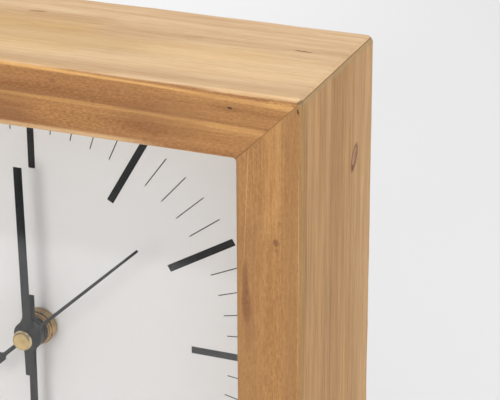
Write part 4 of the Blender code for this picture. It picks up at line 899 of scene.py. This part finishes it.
# The colour of the painted highlight on the cap's rim.
HIGHLIGHT_BRASS = (0.98, 0.86, 0.52)
NUT_SEAT = CARD_FRONT - 0.0003
NUT_HOLE = 0.00415
NUT_BASE, NUT_STEP, NUT_RING = 0.0058, 0.0055, 0.0051
NUT_BASE_FRONT, NUT_STEP_FRONT, NUT_FRONT = (NUT_SEAT - height for height in (0.0031, 0.0046, 0.0049))
NUT_GROOVE = 0.00028
NUT_BEVEL = 0.00012
CAP_LOW, CAP_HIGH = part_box("second_hand_cap")
CAP_RIM = 0.00085
CAP_CROWN = 0.00006
CAP_BEVEL = 0.0001


def spun(name, profile, steps=TURNED_STEPS, place=(0.0, HUB_HEIGHT)):
    """Spins a closed list of (radius, y) about an axis along Y. A radius of zero is a pole."""
    work = bmesh.new()
    rings = []
    for radius, y in profile:
        if radius == 0.0:
            rings.append([work.verts.new((place[0], y, place[1]))] * steps)
            continue
        angles = (2 * pi * step / steps for step in range(steps))
        rings.append([work.verts.new((place[0] + radius * sin(angle), y, place[1] + radius * cos(angle)))
                      for angle in angles])
    skin(work, rings + rings[:1])
    return closed_mesh(work, name)


def bevelled(points, size):
    """Cuts each corner of a closed profile; size is the length taken off each side."""
    cut = []
    count = len(points)
    for index, point in enumerate(points):
        here = Vector(point)
        if here.x == 0.0:
            cut.append(tuple(here))
            continue
        for end in (Vector(points[index - 1]), Vector(points[(index + 1) % count])):
            reach = min(size, (end - here).length * 0.45)
            cut.append(tuple(here + (end - here).normalized() * reach))
    return cut


def turned_brass(name, pale, deep, roughness, upper_shade=0.0, highlight_from=1.0):
    """Brass with the fine rings a lathe tool leaves round the hub's axis.

    A share darkens its upper side with painted shade. Beyond a given radius its colour is lightened to a
    painted highlight, where the rim catches the light."""
    finish = Finish(name, roughness, metallic=1.0)
    x, y, z = finish.split(finish.mapped(finish.place, shift=(0.0, 0.0, -HUB_HEIGHT)))
    radius = (x * x + z * z).math("SQRT")
    tool = finish.noise(finish.joined(radius * TOOL_RINGS, y * TOOL_RINGS, 0.0))
    stain = finish.noise(finish.place, 420.0, 4.0, 0.6)
    colour = finish.mix(finish.between(stain, 0.3, 0.75), pale, deep)
    # Painted shade: the upper side is darker.
    colour = finish.mix(finish.between(z, PAINTED_SHADE_FROM, PAINTED_SHADE_TO) * upper_shade, colour, deep)
    colour = finish.mix(finish.between(tool, 0.3, 0.7, 0.0, 0.25), colour, deep)
    # Painted highlight: a brighter colour on the rim.
    rim_highlight = finish.between(radius, highlight_from, highlight_from + 0.0002, 0.0, 0.9)
    finish.colour(finish.mix(rim_highlight, colour, HIGHLIGHT_BRASS))
    finish.rough(finish.between(stain, 0.25, 0.75, roughness - 0.06, roughness + 0.1))
    finish.bump(tool, 0.000012)
    return finish


def nut_mesh():
    waist = NUT_STEP - NUT_GROOVE
    groove_front = NUT_BASE_FRONT - NUT_GROOVE
    chamfer_start = NUT_STEP_FRONT + NUT_STEP - NUT_RING
    profile = [(NUT_HOLE, NUT_SEAT), (NUT_BASE, NUT_SEAT), (NUT_BASE, NUT_BASE_FRONT),
               (waist, NUT_BASE_FRONT), (waist, groove_front), (NUT_STEP, groove_front),
               (NUT_STEP, chamfer_start), (NUT_RING, NUT_STEP_FRONT), (NUT_RING, NUT_FRONT),
               (NUT_HOLE, NUT_FRONT)]
    return spun("dial_nut_turned", bevelled(profile, NUT_BEVEL))


def cap_mesh():
    radius = (CAP_HIGH.x - CAP_LOW.x) / 2
    front, back = CAP_LOW.y, CAP_HIGH.y
    rim = [(radius - CAP_RIM + CAP_RIM * sin(a), front + CAP_CROWN + CAP_RIM * (1 - cos(a)))
           for a in quarter_turn(10)]
    profile = [(0.0, front), (radius - 1.8 * CAP_RIM, front + CAP_CROWN / 2), *rim,
               (radius, back - CAP_BEVEL), (radius - CAP_BEVEL, back), (0.0, back)]
    return spun("second_hand_cap_turned", profile)


nut_brass = turned_brass("turned_brass_nut", (0.76, 0.53, 0.21), (0.32, 0.19, 0.062), 0.20, upper_shade=0.7)
cap_brass = turned_brass("turned_brass_cap", (0.80, 0.585, 0.275), (0.64, 0.43, 0.175), 0.33,
                         highlight_from=0.00278)
add_piece("dial_nut_turned", nut_mesh(), nut_brass.material, "case", ["dial_nut"])
add_piece("second_hand_cap_turned", cap_mesh(), cap_brass.material, "second_hand_group",
          ["second_hand_cap"])

# %% [markdown]
# The hour and minute hands are stamped bars with a round boss. The bar runs into the boss through a small
# hollow curve on each side. An outline drawn with those curves, given its thickness and a fine bevel, is
# the hand's plate. The deep drum of the minute hand's boss is spun and joined to the plate.

# %% Hands
BOSS_RADIUS = 0.0048
HOLLOW_RADIUS = 0.0034
HAND_THICK = 0.0004
HAND_BEVEL = 0.00014
DRUM_BEVEL = 0.00022
DRUM_STEPS = 64
AT_ORIGIN = (0.0, 0.0)
HAND_SIZES = {
    "hour_hand": {"length": 0.0400, "tail": 0.0131, "width": 0.0026, "turn": radians(180.5),
                  "collar": 0.0032, "bore": 0.00255, "inset": 0.00003},
    "minute_hand": {"length": 0.0573, "tail": 0.0140, "width": 0.0028, "turn": radians(-0.8),
                    "collar": BOSS_RADIUS, "bore": 0.00165, "inset": -0.00004},
}


def bar_outline(length, tail, width):
    """Right half of a bar hand from its tip to its tail, as (x, z)."""
    half = width / 2
    centre_x = half + HOLLOW_RADIUS
    centre_z = sqrt((BOSS_RADIUS + HOLLOW_RADIUS) ** 2 - centre_x ** 2)
    meets = atan2(centre_x, centre_z)
    upper = [(half, length)]
    for step in range(9):
        angle = -pi / 2 - (pi / 2 - meets) * step / 8
        upper.append((centre_x + HOLLOW_RADIUS * sin(angle), centre_z + HOLLOW_RADIUS * cos(angle)))
    boss = [(BOSS_RADIUS * sin(a), BOSS_RADIUS * cos(a))
            for a in (meets + (pi - 2 * meets) * step / 20 for step in range(1, 20))]
    lower = [(x, -z) for x, z in reversed(upper)]
    lower[-1] = (half, -tail)
    return upper + boss + lower


def stamped_plate(name, half_outline, front, back, bevel):
    """A flat plate with this symmetrical outline and bevelled front edges."""
    outline = half_outline + [(-x, z) for x, z in reversed(half_outline)]
    work = bmesh.new()
    face = work.faces.new([work.verts.new((x, back, z)) for x, z in outline])
    made = bmesh.ops.extrude_face_region(work, geom=[face])
    moved = [v for v in made["geom"] if isinstance(v, bmesh.types.BMVert)]
    bmesh.ops.translate(work, verts=moved, vec=(0.0, front - back, 0.0))
    rim = [e for e in work.edges if all(abs(v.co.y - front) < 1e-7 for v in e.verts)]
    bmesh.ops.bevel(work, geom=rim, offset=bevel, segments=2, affect="EDGES")
    return closed_mesh(work, name)


def joined_solid(base, other, operation):
    """Joins or cuts a mesh with another and returns the plain result."""
    holders = [placed("joining", mesh) for mesh in (base, other)]
    step = holders[0].modifiers.new("join", "BOOLEAN")
    step.operation = operation
    step.solver = "EXACT"
    step.object = holders[1]
    evaluated = holders[0].evaluated_get(bpy.context.evaluated_depsgraph_get())
    result = bpy.data.meshes.new_from_object(evaluated)
    for holder in holders:
        bpy.data.objects.remove(holder)
    return result


def turned_at_hub(mesh, name, turn):
    mesh.name = name
    mesh.transform(Matrix.Translation((0.0, 0.0, HUB_HEIGHT)) @ Matrix.Rotation(turn, 4, "Y"))
    return mesh


def satin_black(name):
    finish = Finish(name)
    finish.shader.inputs["Specular IOR Level"].default_value = 0.35
    peel = finish.noise(finish.place, 1800.0, 3.0, 0.5)
    dust = finish.noise(finish.place, 260.0, 4.0, 0.65)
    dusty = finish.between(dust, 0.45, 0.8, 0.0, 0.5)
    finish.colour(finish.mix(dusty, (0.009, 0.0095, 0.011), (0.020, 0.021, 0.023)))
    finish.rough(finish.between(dust, 0.3, 0.7, 0.36, 0.5))
    finish.bump(peel, 0.000012)
    return finish


def bar_hand(name, length, tail, width, turn, collar, bore, inset):
    low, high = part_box(name)
    front, back = low.y, high.y
    plate = stamped_plate(name, bar_outline(length, tail, width), front, front + HAND_THICK, HAND_BEVEL)
    face = front + inset
    drum = bevelled([(bore, face), (collar, face), (collar, back), (bore, back)], DRUM_BEVEL)
    solid = joined_solid(plate, spun(name, drum, DRUM_STEPS, AT_ORIGIN), "UNION")
    hole = [(0.0, front - MM), (bore, front - MM), (bore, back + MM), (0.0, back + MM)]
    solid = joined_solid(solid, spun(name, hole, DRUM_STEPS, AT_ORIGIN), "DIFFERENCE")
    return turned_at_hub(solid, name + "_stamped", turn)


hand_black = satin_black("satin_black_hand")
for hand_name, hand_sizes in HAND_SIZES.items():
    add_piece(hand_name + "_stamped", bar_hand(hand_name, **hand_sizes), hand_black.material,
              hand_name + "_group", [hand_name])

# %% [markdown]
# The second hand is a needle that narrows to its tip, with a wider paddle as a counterweight. Its outline
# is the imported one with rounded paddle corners. Its hub is a short tube that the wheel's shaft goes into.

# %% Second hand
SECOND_TURN = radians(47.2)
SECOND_THICK = 0.0003
SECOND_BEVEL = 0.00007
NEEDLE_LENGTH = 0.0549
NEEDLE_TIP, NEEDLE_ROOT, NEEDLE_TAIL = 0.00040, 0.00058, 0.00065
NEEDLE_STEP = 0.0014
PADDLE_START, PADDLE_END = 0.0088, 0.0235
PADDLE_HALF = 0.0015
PADDLE_CORNER = 0.0004
PADDLE_NECK = 0.0015
SECOND_HUB, SECOND_BORE = 0.00137, 0.00065
HUB_INSET, HUB_BEVEL = 0.0001, 0.00008


def second_outline():
    """Right half of the needle from its tip to the end of its paddle, as (x, z)."""
    right = [(NEEDLE_TIP, NEEDLE_LENGTH), (NEEDLE_ROOT, NEEDLE_STEP), (NEEDLE_TAIL, -NEEDLE_STEP),
             (NEEDLE_TAIL, -PADDLE_START)]
    wider = PADDLE_HALF - NEEDLE_TAIL
    right += [(NEEDLE_TAIL + wider * (1 - cos(a)), -PADDLE_START - PADDLE_NECK * sin(a))
              for a in quarter_turn(5)[1:]]
    right += [(PADDLE_HALF - PADDLE_CORNER + PADDLE_CORNER * cos(a),
               -PADDLE_END + PADDLE_CORNER - PADDLE_CORNER * sin(a)) for a in quarter_turn(4)]
    return right


def second_hand():
    low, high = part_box("second_hand")
    front, back = low.y, low.y + SECOND_THICK
    plate = stamped_plate("second_hand", second_outline(), front, back, SECOND_BEVEL)
    face = front + HUB_INSET
    hub = bevelled([(0.0, face), (SECOND_HUB, face), (SECOND_HUB, high.y), (SECOND_BORE, high.y),
                    (SECOND_BORE, back), (0.0, back)], HUB_BEVEL)
    solid = joined_solid(plate, spun("second_hand", hub, 48, AT_ORIGIN), "UNION")
    return turned_at_hub(solid, "second_hand_needle", SECOND_TURN)


add_piece("second_hand_needle", second_hand(), satin_black("satin_black_needle").material,
          "second_hand_group", ["second_hand"])

# %% [markdown]
# Behind the dial sit the fibreboard panel and the movement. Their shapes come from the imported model. Each
# gets the finish of its own stuff: pressed fibres, moulded plastic with a fine spark texture, rubber,
# stamped steel, copper wire, green solder mask. The second wheel's shaft is blackened where it stands in
# front of the dial, as the hands are.

# %% Finishes of the parts behind the dial
ARBOR_TIP_Y = -0.005
TIP_BLACK = (0.035, 0.035, 0.037)
PLAIN = (1.0, 1.0, 1.0)
SPECKLED = {
    "pressed_fibreboard": ((0.27, 0.165, 0.092), (0.15, 0.085, 0.045), 0.0011, 0.82, 0.00008, 0.0,
                           (1.0, 1.0, 2.2)),
    "spark_textured_shell": ((0.030, 0.030, 0.032), (0.018, 0.018, 0.020), 0.00045, 0.5, 0.00003),
    "moulded_white": ((0.78, 0.77, 0.74), (0.70, 0.69, 0.65), 0.0007, 0.4, 0.00001),
    "moulded_white_arbor_tip": ((0.78, 0.77, 0.74), (0.70, 0.69, 0.65), 0.0007, 0.4, 0.00001, 0.0, PLAIN,
                                TIP_BLACK),
    "moulded_grey": ((0.34, 0.35, 0.37), (0.26, 0.27, 0.29), 0.0007, 0.48, 0.00001),
    "moulded_black_pipe": ((0.050, 0.050, 0.053), (0.030, 0.030, 0.032), 0.0007, 0.45, 0.00001),
    "moulded_rubber": ((0.030, 0.029, 0.028), (0.015, 0.015, 0.015), 0.0008, 0.85, 0.00003),
    "stamped_steel": ((0.52, 0.52, 0.53), (0.38, 0.38, 0.39), 0.0009, 0.34, 0.00001, 1.0, (0.15, 1.0, 1.0)),
    "sintered_magnet": ((0.12, 0.12, 0.125), (0.07, 0.07, 0.075), 0.0005, 0.42, 0.00002, 0.6),
    "enamelled_copper": ((0.62, 0.26, 0.11), (0.42, 0.15, 0.06), 0.0003, 0.32, 0.00003, 1.0,
                         (5.0, 1.0, 1.0)),
    "green_solder_mask": ((0.035, 0.19, 0.085), (0.022, 0.13, 0.055), 0.0012, 0.35, 0.00001),
    "black_resin": ((0.022, 0.022, 0.024), (0.012, 0.012, 0.013), 0.0006, 0.3, 0.00003),
    "plated_leaf": ((0.66, 0.60, 0.46), (0.48, 0.42, 0.30), 0.0009, 0.28, 0.00001, 1.0),
}
PAINTED = {
    "pressed_fibreboard": ["dial_board"],
    "spark_textured_shell": ["movement_front_case"],
    "moulded_white": ["hour_wheel", "minute_wheel", "third_wheel", "fifth_wheel", "rotor_pinion",
                      "coil_bobbin", "train_bridge"],
    "moulded_white_arbor_tip": ["second_wheel"],
    "moulded_grey": ["center_wheel", "middle_plate"],
    "moulded_black_pipe": ["cannon_pinion"],
    "moulded_rubber": ["rubber_washer"],
    "stamped_steel": ["stator", "coil_core", "quartz_crystal"],
    "sintered_magnet": ["rotor_magnet"],
    "green_solder_mask": ["circuit_board"],
    "black_resin": ["chip_cover"],
    "plated_leaf": ["battery_contact_positive", "battery_contact_negative"],
}


def speckled(name, pale, dark, size, roughness, relief, metallic=0.0, stretch=PLAIN, tip=None):
    """A mottled surface: size is the width of one mottle in metres, relief its depth.

    tip is the colour of a shaft's end in front of the dial."""
    finish = Finish(name, roughness, metallic)
    place = finish.mapped(finish.place, stretch)
    fine = finish.noise(place, 1.0 / size, 4.0, 0.6)
    wide = finish.noise(place, 0.12 / size, 3.0)
    colour = finish.mix(finish.between(fine * 0.6 + wide * 0.4, 0.32, 0.68), dark, pale)
    if tip:
        y = finish.split(finish.place)[1]
        colour = finish.mix(finish.between(y, ARBOR_TIP_Y, ARBOR_TIP_Y - 0.0002), colour, tip)
    finish.colour(colour)
    finish.rough(finish.between(wide, 0.3, 0.7, roughness - 0.06, roughness + 0.08))
    finish.bump(fine, relief)
    return finish


finishes = {finish_name: speckled(finish_name, *values) for finish_name, values in SPECKLED.items()}
shell_plastic = finishes["spark_textured_shell"]
copper_wire = finishes["enamelled_copper"]
for finish_name, node_names in PAINTED.items():
    for node_name in node_names:
        paint_node(node_name, finishes[finish_name])
paint_node("threaded_bush", nut_brass)
print("painted packed nodes with", len(PAINTED) + 1, "finishes")

# %% [markdown]
# From behind, the movement is a black box of two moulded shells with the battery in an open bay. Moulded
# plastic has no knife edges, and a rounded rim is what shows such a box in soft light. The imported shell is
# right in shape, so a merged copy of it is kept where it lies inside a block of the same outline whose back
# rim is rounded.

# %% Rounded back shell
SHELL_ROUND = 0.0008
SHELL_CORNER = 0.0025
SHELL_SKIN = 0.00002


def merged_copy(name):
    """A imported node's mesh with its loose triangles joined."""
    work = bmesh.new()
    work.from_mesh(NODES[name].data)
    bmesh.ops.remove_doubles(work, verts=work.verts, dist=0.000001)
    return work


def rounded_square(half, corner, steps=8):
    """Outline of a square about the hub with rounded corners, as (x, z)."""
    outline = []
    for quarter in range(4):
        side_x = 1 if quarter in (0, 3) else -1
        side_z = 1 if quarter in (0, 1) else -1
        for step in range(steps + 1):
            angle = (quarter + step / steps) * pi / 2
            outline.append((side_x * (half - corner) + corner * cos(angle),
                            HUB_HEIGHT + side_z * (half - corner) + corner * sin(angle)))
    return outline


def rounded_block(name, half, corner, front, back, rim):
    """A block about the hub whose back rim is rounded."""
    work = bmesh.new()
    levels = [(0.0, front)] + [(rim * (1 - cos(a)), back - rim * (1 - sin(a))) for a in quarter_turn(6)]
    rings = [[work.verts.new((x, y, z)) for x, z in rounded_square(half - inset, corner - inset)]
             for inset, y in levels]
    skin(work, rings, capped=True)
    return closed_mesh(work, name)


def rounded_back(name):
    low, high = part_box(name)
    half = (high.x - low.x) / 2 - SHELL_SKIN
    block = rounded_block("shell_block", half, SHELL_CORNER, low.y - MM, high.y - SHELL_SKIN, SHELL_ROUND)
    shell = joined_solid(closed_mesh(merged_copy(name), name + "_copy"), block, "INTERSECT")
    shell.name = name + "_moulded"
    return shell


add_piece("movement_rear_case_moulded", rounded_back("movement_rear_case"), shell_plastic.material, "case",
          ["movement_rear_case"])

# %% [markdown]
# The setting knob is turned with a fingertip, so it has ribs round its rim and a shallow dish in its face.
# Its ribs repeat round an axis, as the dial's bars do, so the same tree makes them. The pinion on its inner
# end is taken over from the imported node.

# %% Ribbed setting knob
KNOB_LOW, KNOB_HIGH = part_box("setting_knob")
KNOB_PLACE = ((KNOB_LOW.x + KNOB_HIGH.x) / 2, (KNOB_LOW.z + KNOB_HIGH.z) / 2)
KNOB_RADIUS = (KNOB_HIGH.z - KNOB_LOW.z) / 2
KNOB_HEIGHT = 0.0030
KNOB_CORE = KNOB_RADIUS - 0.0004
KNOB_FACE_RIM = 0.0007
KNOB_DISH = 0.0004
KNOB_BEVEL = 0.0002
KNOB_RIBS = {"Count": 18, "Leave Out Every": 0, "Inner Radius": KNOB_CORE - KNOB_BEVEL,
             "Outer Radius": KNOB_RADIUS, "Width": 0.0005, "Thickness": KNOB_HEIGHT - 2 * KNOB_BEVEL}


def inner_end(name, cut_y):
    """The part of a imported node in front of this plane, closed where it was cut."""
    work = merged_copy(name)
    everything = list(work.verts) + list(work.edges) + list(work.faces)
    bmesh.ops.bisect_plane(work, geom=everything, plane_co=(0.0, cut_y, 0.0), plane_no=(0.0, 1.0, 0.0),
                           clear_outer=True)
    bmesh.ops.holes_fill(work, edges=[edge for edge in work.edges if edge.is_boundary], sides=0)
    return closed_mesh(work, name + "_inner_end")


def gathered(name, meshes):
    """Puts several closed meshes into one."""
    work = bmesh.new()
    for mesh in meshes:
        work.from_mesh(mesh)
    made = bpy.data.meshes.new(name)
    work.to_mesh(made)
    work.free()
    return made


def ribbed_knob():
    start, end = KNOB_HIGH.y - KNOB_HEIGHT, KNOB_HIGH.y
    dish = KNOB_CORE - KNOB_FACE_RIM
    profile = bevelled([(0.0, start), (KNOB_CORE, start), (KNOB_CORE, end), (dish, end),
                        (dish - KNOB_DISH, end - KNOB_DISH), (0.0, end - KNOB_DISH)], KNOB_BEVEL)
    ribs = mesh_from_nodes("knob_ribs", ring_tree("ring_of_ribs", shell_plastic.material),
                           {**KNOB_RIBS, "Front": (start + end) / 2})
    ribs.transform(Matrix.Translation((KNOB_PLACE[0], 0.0, KNOB_PLACE[1])))
    core = spun("knob_core", profile, 48, KNOB_PLACE)
    return gathered("setting_knob_ribbed", [core, ribs, inner_end("setting_knob", start - 0.0001)])


add_piece("setting_knob_ribbed", ribbed_knob(), shell_plastic.material, "setting_knob_group",
          ["setting_knob"])

# %% [markdown]
# The battery is a steel can in a shrunk sleeve. The sleeve folds over both ends and leaves a steel disc at
# one and the raised contact at the other. Its profile is spun and laid along the bay. The sleeve carries no
# print, only a plain paler band at the raised contact, which tells the two ends apart.

# %% Battery
SLEEVE_ROUND = 0.0006
SLEEVE_FOLD = 0.0011
CAN_RECESS = 0.0003
CAN_STEP = 0.0001
NUB_RADIUS = 0.00265
NUB_LENGTH = 0.0010
NUB_BEVEL = 0.0003
SLEEVE_BAND = 0.0165
BATTERY_LOW, BATTERY_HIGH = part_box("battery")
BATTERY_RADIUS = (BATTERY_HIGH.y - BATTERY_LOW.y) / 2
FOLD_RADIUS = BATTERY_RADIUS - SLEEVE_FOLD


def laid_along_x(mesh, low, high):
    """Turns a mesh spun about Y into one along X, in the middle of this box."""
    place = Matrix.Translation((0.0, (low.y + high.y) / 2, (low.z + high.z) / 2))
    mesh.transform(place @ Matrix.Rotation(-pi / 2, 4, "Z"))
    return mesh


def battery_mesh():
    start, nub_end = BATTERY_LOW.x, BATTERY_HIGH.x
    end = nub_end - NUB_LENGTH
    fold, turn = FOLD_RADIUS, SLEEVE_ROUND
    edge = BATTERY_RADIUS - turn
    profile = [(0.0, start + CAN_STEP), (fold - 3 * CAN_STEP, start + CAN_STEP),
               (fold - 2 * CAN_STEP, start + CAN_RECESS), (fold - CAN_STEP, start + CAN_RECESS),
               (fold, start)]
    profile += [(edge + turn * sin(a), start + turn - turn * cos(a)) for a in quarter_turn(5)]
    profile += [(edge + turn * cos(a), end - turn + turn * sin(a)) for a in quarter_turn(5)]
    profile += [(fold, end), (fold - CAN_STEP, end - CAN_RECESS), (NUB_RADIUS + NUB_BEVEL, end - CAN_RECESS),
                (NUB_RADIUS, end), (NUB_RADIUS, nub_end - NUB_BEVEL), (NUB_RADIUS - NUB_BEVEL, nub_end),
                (0.0, nub_end)]
    return laid_along_x(spun("battery_sleeved", profile, 64, AT_ORIGIN), BATTERY_LOW, BATTERY_HIGH)


def sleeve_foil():
    finish = Finish("plain_battery_sleeve")
    x = finish.split(finish.place)[0]
    scuff = finish.noise(finish.mapped(finish.place, (0.35, 1.0, 1.0)), 700.0, 4.0, 0.65)
    scuffed = finish.between(scuff, 0.3, 0.75)
    body = finish.mix(scuffed, (0.096, 0.103, 0.124), (0.113, 0.122, 0.146))
    band = finish.mix(scuffed, (0.27, 0.28, 0.30), (0.31, 0.32, 0.34))
    finish.colour(finish.mix(finish.between(x, SLEEVE_BAND, SLEEVE_BAND + 0.0002), body, band))
    finish.rough(finish.between(scuff, 0.3, 0.75, 0.24, 0.40))
    finish.bump(scuff, 0.00001)
    return finish


can_mesh = battery_mesh()
add_piece("battery_sleeved", can_mesh, [sleeve_foil().material, finishes["stamped_steel"].material], "case",
          ["battery"])
can_y = (BATTERY_LOW.y + BATTERY_HIGH.y) / 2
can_z = (BATTERY_LOW.z + BATTERY_HIGH.z) / 2
for polygon in can_mesh.polygons:
    if hypot(polygon.center.y - can_y, polygon.center.z - can_z) < FOLD_RADIUS - CAN_STEP:
        polygon.material_index = 1
print("steel faces of the battery:", sum(polygon.material_index for polygon in can_mesh.polygons))

# %% [markdown]
# The coil of the step motor is wire wound side by side on a bobbin, so it is built as one: a spiral curve
# with a round section, turn against turn, over a plain inner layer. A tree with a spiral node makes it.

# %% Wound coil
WIRE_RADIUS = 0.00012
COIL_BORE = 0.00205


def winding_tree(material):
    """A tree that winds a wire along Z."""
    tree, inputs = shape_tree("wound_wire", (), ("Turns", "Winding Radius", "Length", "Wire Radius"))
    turns, radius, length, wire_radius = inputs
    winding = {"Resolution": 20, "Rotations": turns, "Height": length, "Start Radius": radius,
               "End Radius": radius}
    spiral = put_node(tree, "GeometryNodeCurveSpiral", winding).outputs[0]
    section = {"Resolution": 6, "Radius": wire_radius}
    circle = put_node(tree, "GeometryNodeCurvePrimitiveCircle", section).outputs[0]
    along = {"Curve": spiral, "Profile Curve": circle, "Fill Caps": True}
    end_tree(tree, put_node(tree, "GeometryNodeCurveToMesh", along).outputs[0], material)
    return tree


def wound_coil():
    low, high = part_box("coil_winding")
    radius = (high.y - low.y) / 2
    wound = high.x - low.x - 2 * WIRE_RADIUS
    wire = mesh_from_nodes("coil_wire", winding_tree(copper_wire.material),
                           {"Turns": wound / (2 * WIRE_RADIUS), "Winding Radius": radius - WIRE_RADIUS,
                            "Length": wound, "Wire Radius": WIRE_RADIUS})
    middle = ((low.y + high.y) / 2, (low.z + high.z) / 2)
    wire.transform(Matrix.Translation((low.x + WIRE_RADIUS, *middle)) @ Matrix.Rotation(pi / 2, 4, "Y"))
    inner = radius - 1.5 * WIRE_RADIUS
    profile = [(COIL_BORE, low.x), (inner, low.x), (inner, high.x), (COIL_BORE, high.x)]
    layer = laid_along_x(spun("coil_layer", profile, 32, AT_ORIGIN), low, high)
    return gathered("coil_winding_wound", [wire, layer])


add_piece("coil_winding_wound", wound_coil(), copper_wire.material, "case", ["coil_winding"],
          sharp_angle=80.0)

# %% [markdown]
# The studio is plain: a pale floor that runs far back, one soft lamp in front and a little to the
# left, one overhead, one on the right, and a pale surround. The hand's shadow on the dial gives the front
# lamp's direction and size. A painted pool of light makes the floor a little paler far behind the clock's
# left side. A dark screen in front, seen only in reflections, stands for the unlit half of the room. It
# makes the pane's veil end half way up the dial, where the floor's mirror image ends.

# %% Floor, screen and lamps
FLOOR_HALF = 3.0
FLOOR_DROP = 0.0001
# Where the painted pool of light on the floor lies, how far it reaches, and its colour.
LIGHT_POOL_PLACE = (-0.298, 0.649, -FLOOR_DROP)
LIGHT_POOL_REACH = (0.29, 0.04)
LIGHT_POOL_WHITE = (0.940, 0.940, 0.940)
SCREEN_HALF, SCREEN_TOP = 2.0, 3.0
SCREEN_Y = -0.291
SCREEN_FADE = 0.010
BACKGROUND = 0.83
SURROUND = 0.78
LAMP_TARGET = Vector((0.0, 0.0, 0.1))
LAMPS = {"front_lamp": ((-0.290, -1.65, 0.48), 0.86, 10.9), "top_lamp": ((0.10, 0.10, 1.70), 1.30, 11.0),
         "right_lamp": ((1.80, -0.30, 0.70), 1.40, 11.0)}


def flat_panel(name, corners, finish):
    mesh = bpy.data.meshes.new(name)
    mesh.from_pydata(corners, [], [tuple(range(len(corners)))])
    mesh.materials.append(finish.material)
    panel = placed(name, mesh)
    panel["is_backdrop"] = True
    return panel


def floor_finish():
    finish = Finish("pale_floor", roughness=0.9)
    cloud = finish.noise(finish.place, 3.0, 2.0)
    plain = finish.mix(cloud, (0.805, 0.805, 0.81), (0.825, 0.825, 0.83))
    # Painted light: the floor is paler in a pool far behind the clock's left side.
    away = finish.step("ShaderNodeVectorMath", {0: finish.place, 1: LIGHT_POOL_PLACE}, operation="DISTANCE")
    light_pool = finish.between(away.outputs["Value"], *LIGHT_POOL_REACH)
    finish.colour(finish.mix(light_pool, plain, LIGHT_POOL_WHITE))
    return finish


def screen_finish():
    """Black, with the background's own brightness at the floor, so that the two meet softly."""
    finish = Finish("dark_screen")
    height = finish.split(finish.place)[2]
    glow = finish.mix(finish.between(height, 0.0, SCREEN_FADE), (BACKGROUND,) * 3, (0.0, 0.0, 0.0))
    feed(finish.surface, finish.step("ShaderNodeEmission", {"Color": glow}).outputs[0])
    return finish


def lamp(name, place, size, power):
    data = bpy.data.lights.new(name, "AREA")
    data.shape = "DISK"
    data.size = size
    data.energy = power
    turn = (LAMP_TARGET - Vector(place)).to_track_quat("-Z", "Y").to_matrix().to_4x4()
    placed(name, data).matrix_world = Matrix.Translation(place) @ turn


def surround():
    """A pale surround, a little brighter to the eye and in mirrors than it is as a light."""
    world = bpy.data.worlds.new("surround")
    bpy.context.scene.world = world
    world.use_nodes = True
    tree = world.node_tree
    tree.nodes.clear()
    rays = put_node(tree, "ShaderNodeLightPath").outputs
    seen = Value(rays["Is Glossy Ray"]).math("MAXIMUM", rays["Is Transmission Ray"])
    seen = seen.math("MAXIMUM", rays["Is Camera Ray"])
    inputs = {"Value": seen, "To Min": SURROUND, "To Max": BACKGROUND}
    strength = put_node(tree, "ShaderNodeMapRange", inputs).outputs[0]
    back = put_node(tree, "ShaderNodeBackground", {"Strength": strength})
    put_node(tree, "ShaderNodeOutputWorld", {"Surface": back.outputs[0]})


def rectangle(low, high):
    """The corners, in turn, of a rectangle with these two opposite corners."""
    return [low, (high[0], low[1]), high, (low[0], high[1])]


floor_corners = rectangle((-FLOOR_HALF, -FLOOR_HALF), (FLOOR_HALF, FLOOR_HALF))
screen_corners = rectangle((-SCREEN_HALF, 0.0), (SCREEN_HALF, SCREEN_TOP))
flat_panel("floor", [(x, y, -FLOOR_DROP) for x, y in floor_corners], floor_finish())
screen = flat_panel("dark_screen", [(x, SCREEN_Y, z) for x, z in screen_corners], screen_finish())
screen.visible_camera = False
screen.visible_diffuse = False
screen.visible_transmission = False
screen.visible_shadow = False
for lamp_name, settings in LAMPS.items():
    lamp(lamp_name, *settings)
surround()
print("stage set with", len(LAMPS), "lamps")

# %% [markdown]
# Last, the size of the dressed clock is printed beside the size of the imported one.

# %% Sizes
VISUAL_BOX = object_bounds()
sizes = {"cad": [list(corner) for corner in CAD_BOX], "visual": [list(corner) for corner in VISUAL_BOX]}
print("sizes in mm:", [[round(1000 * v, 2) for v in b - a] for a, b in (CAD_BOX, VISUAL_BOX)])
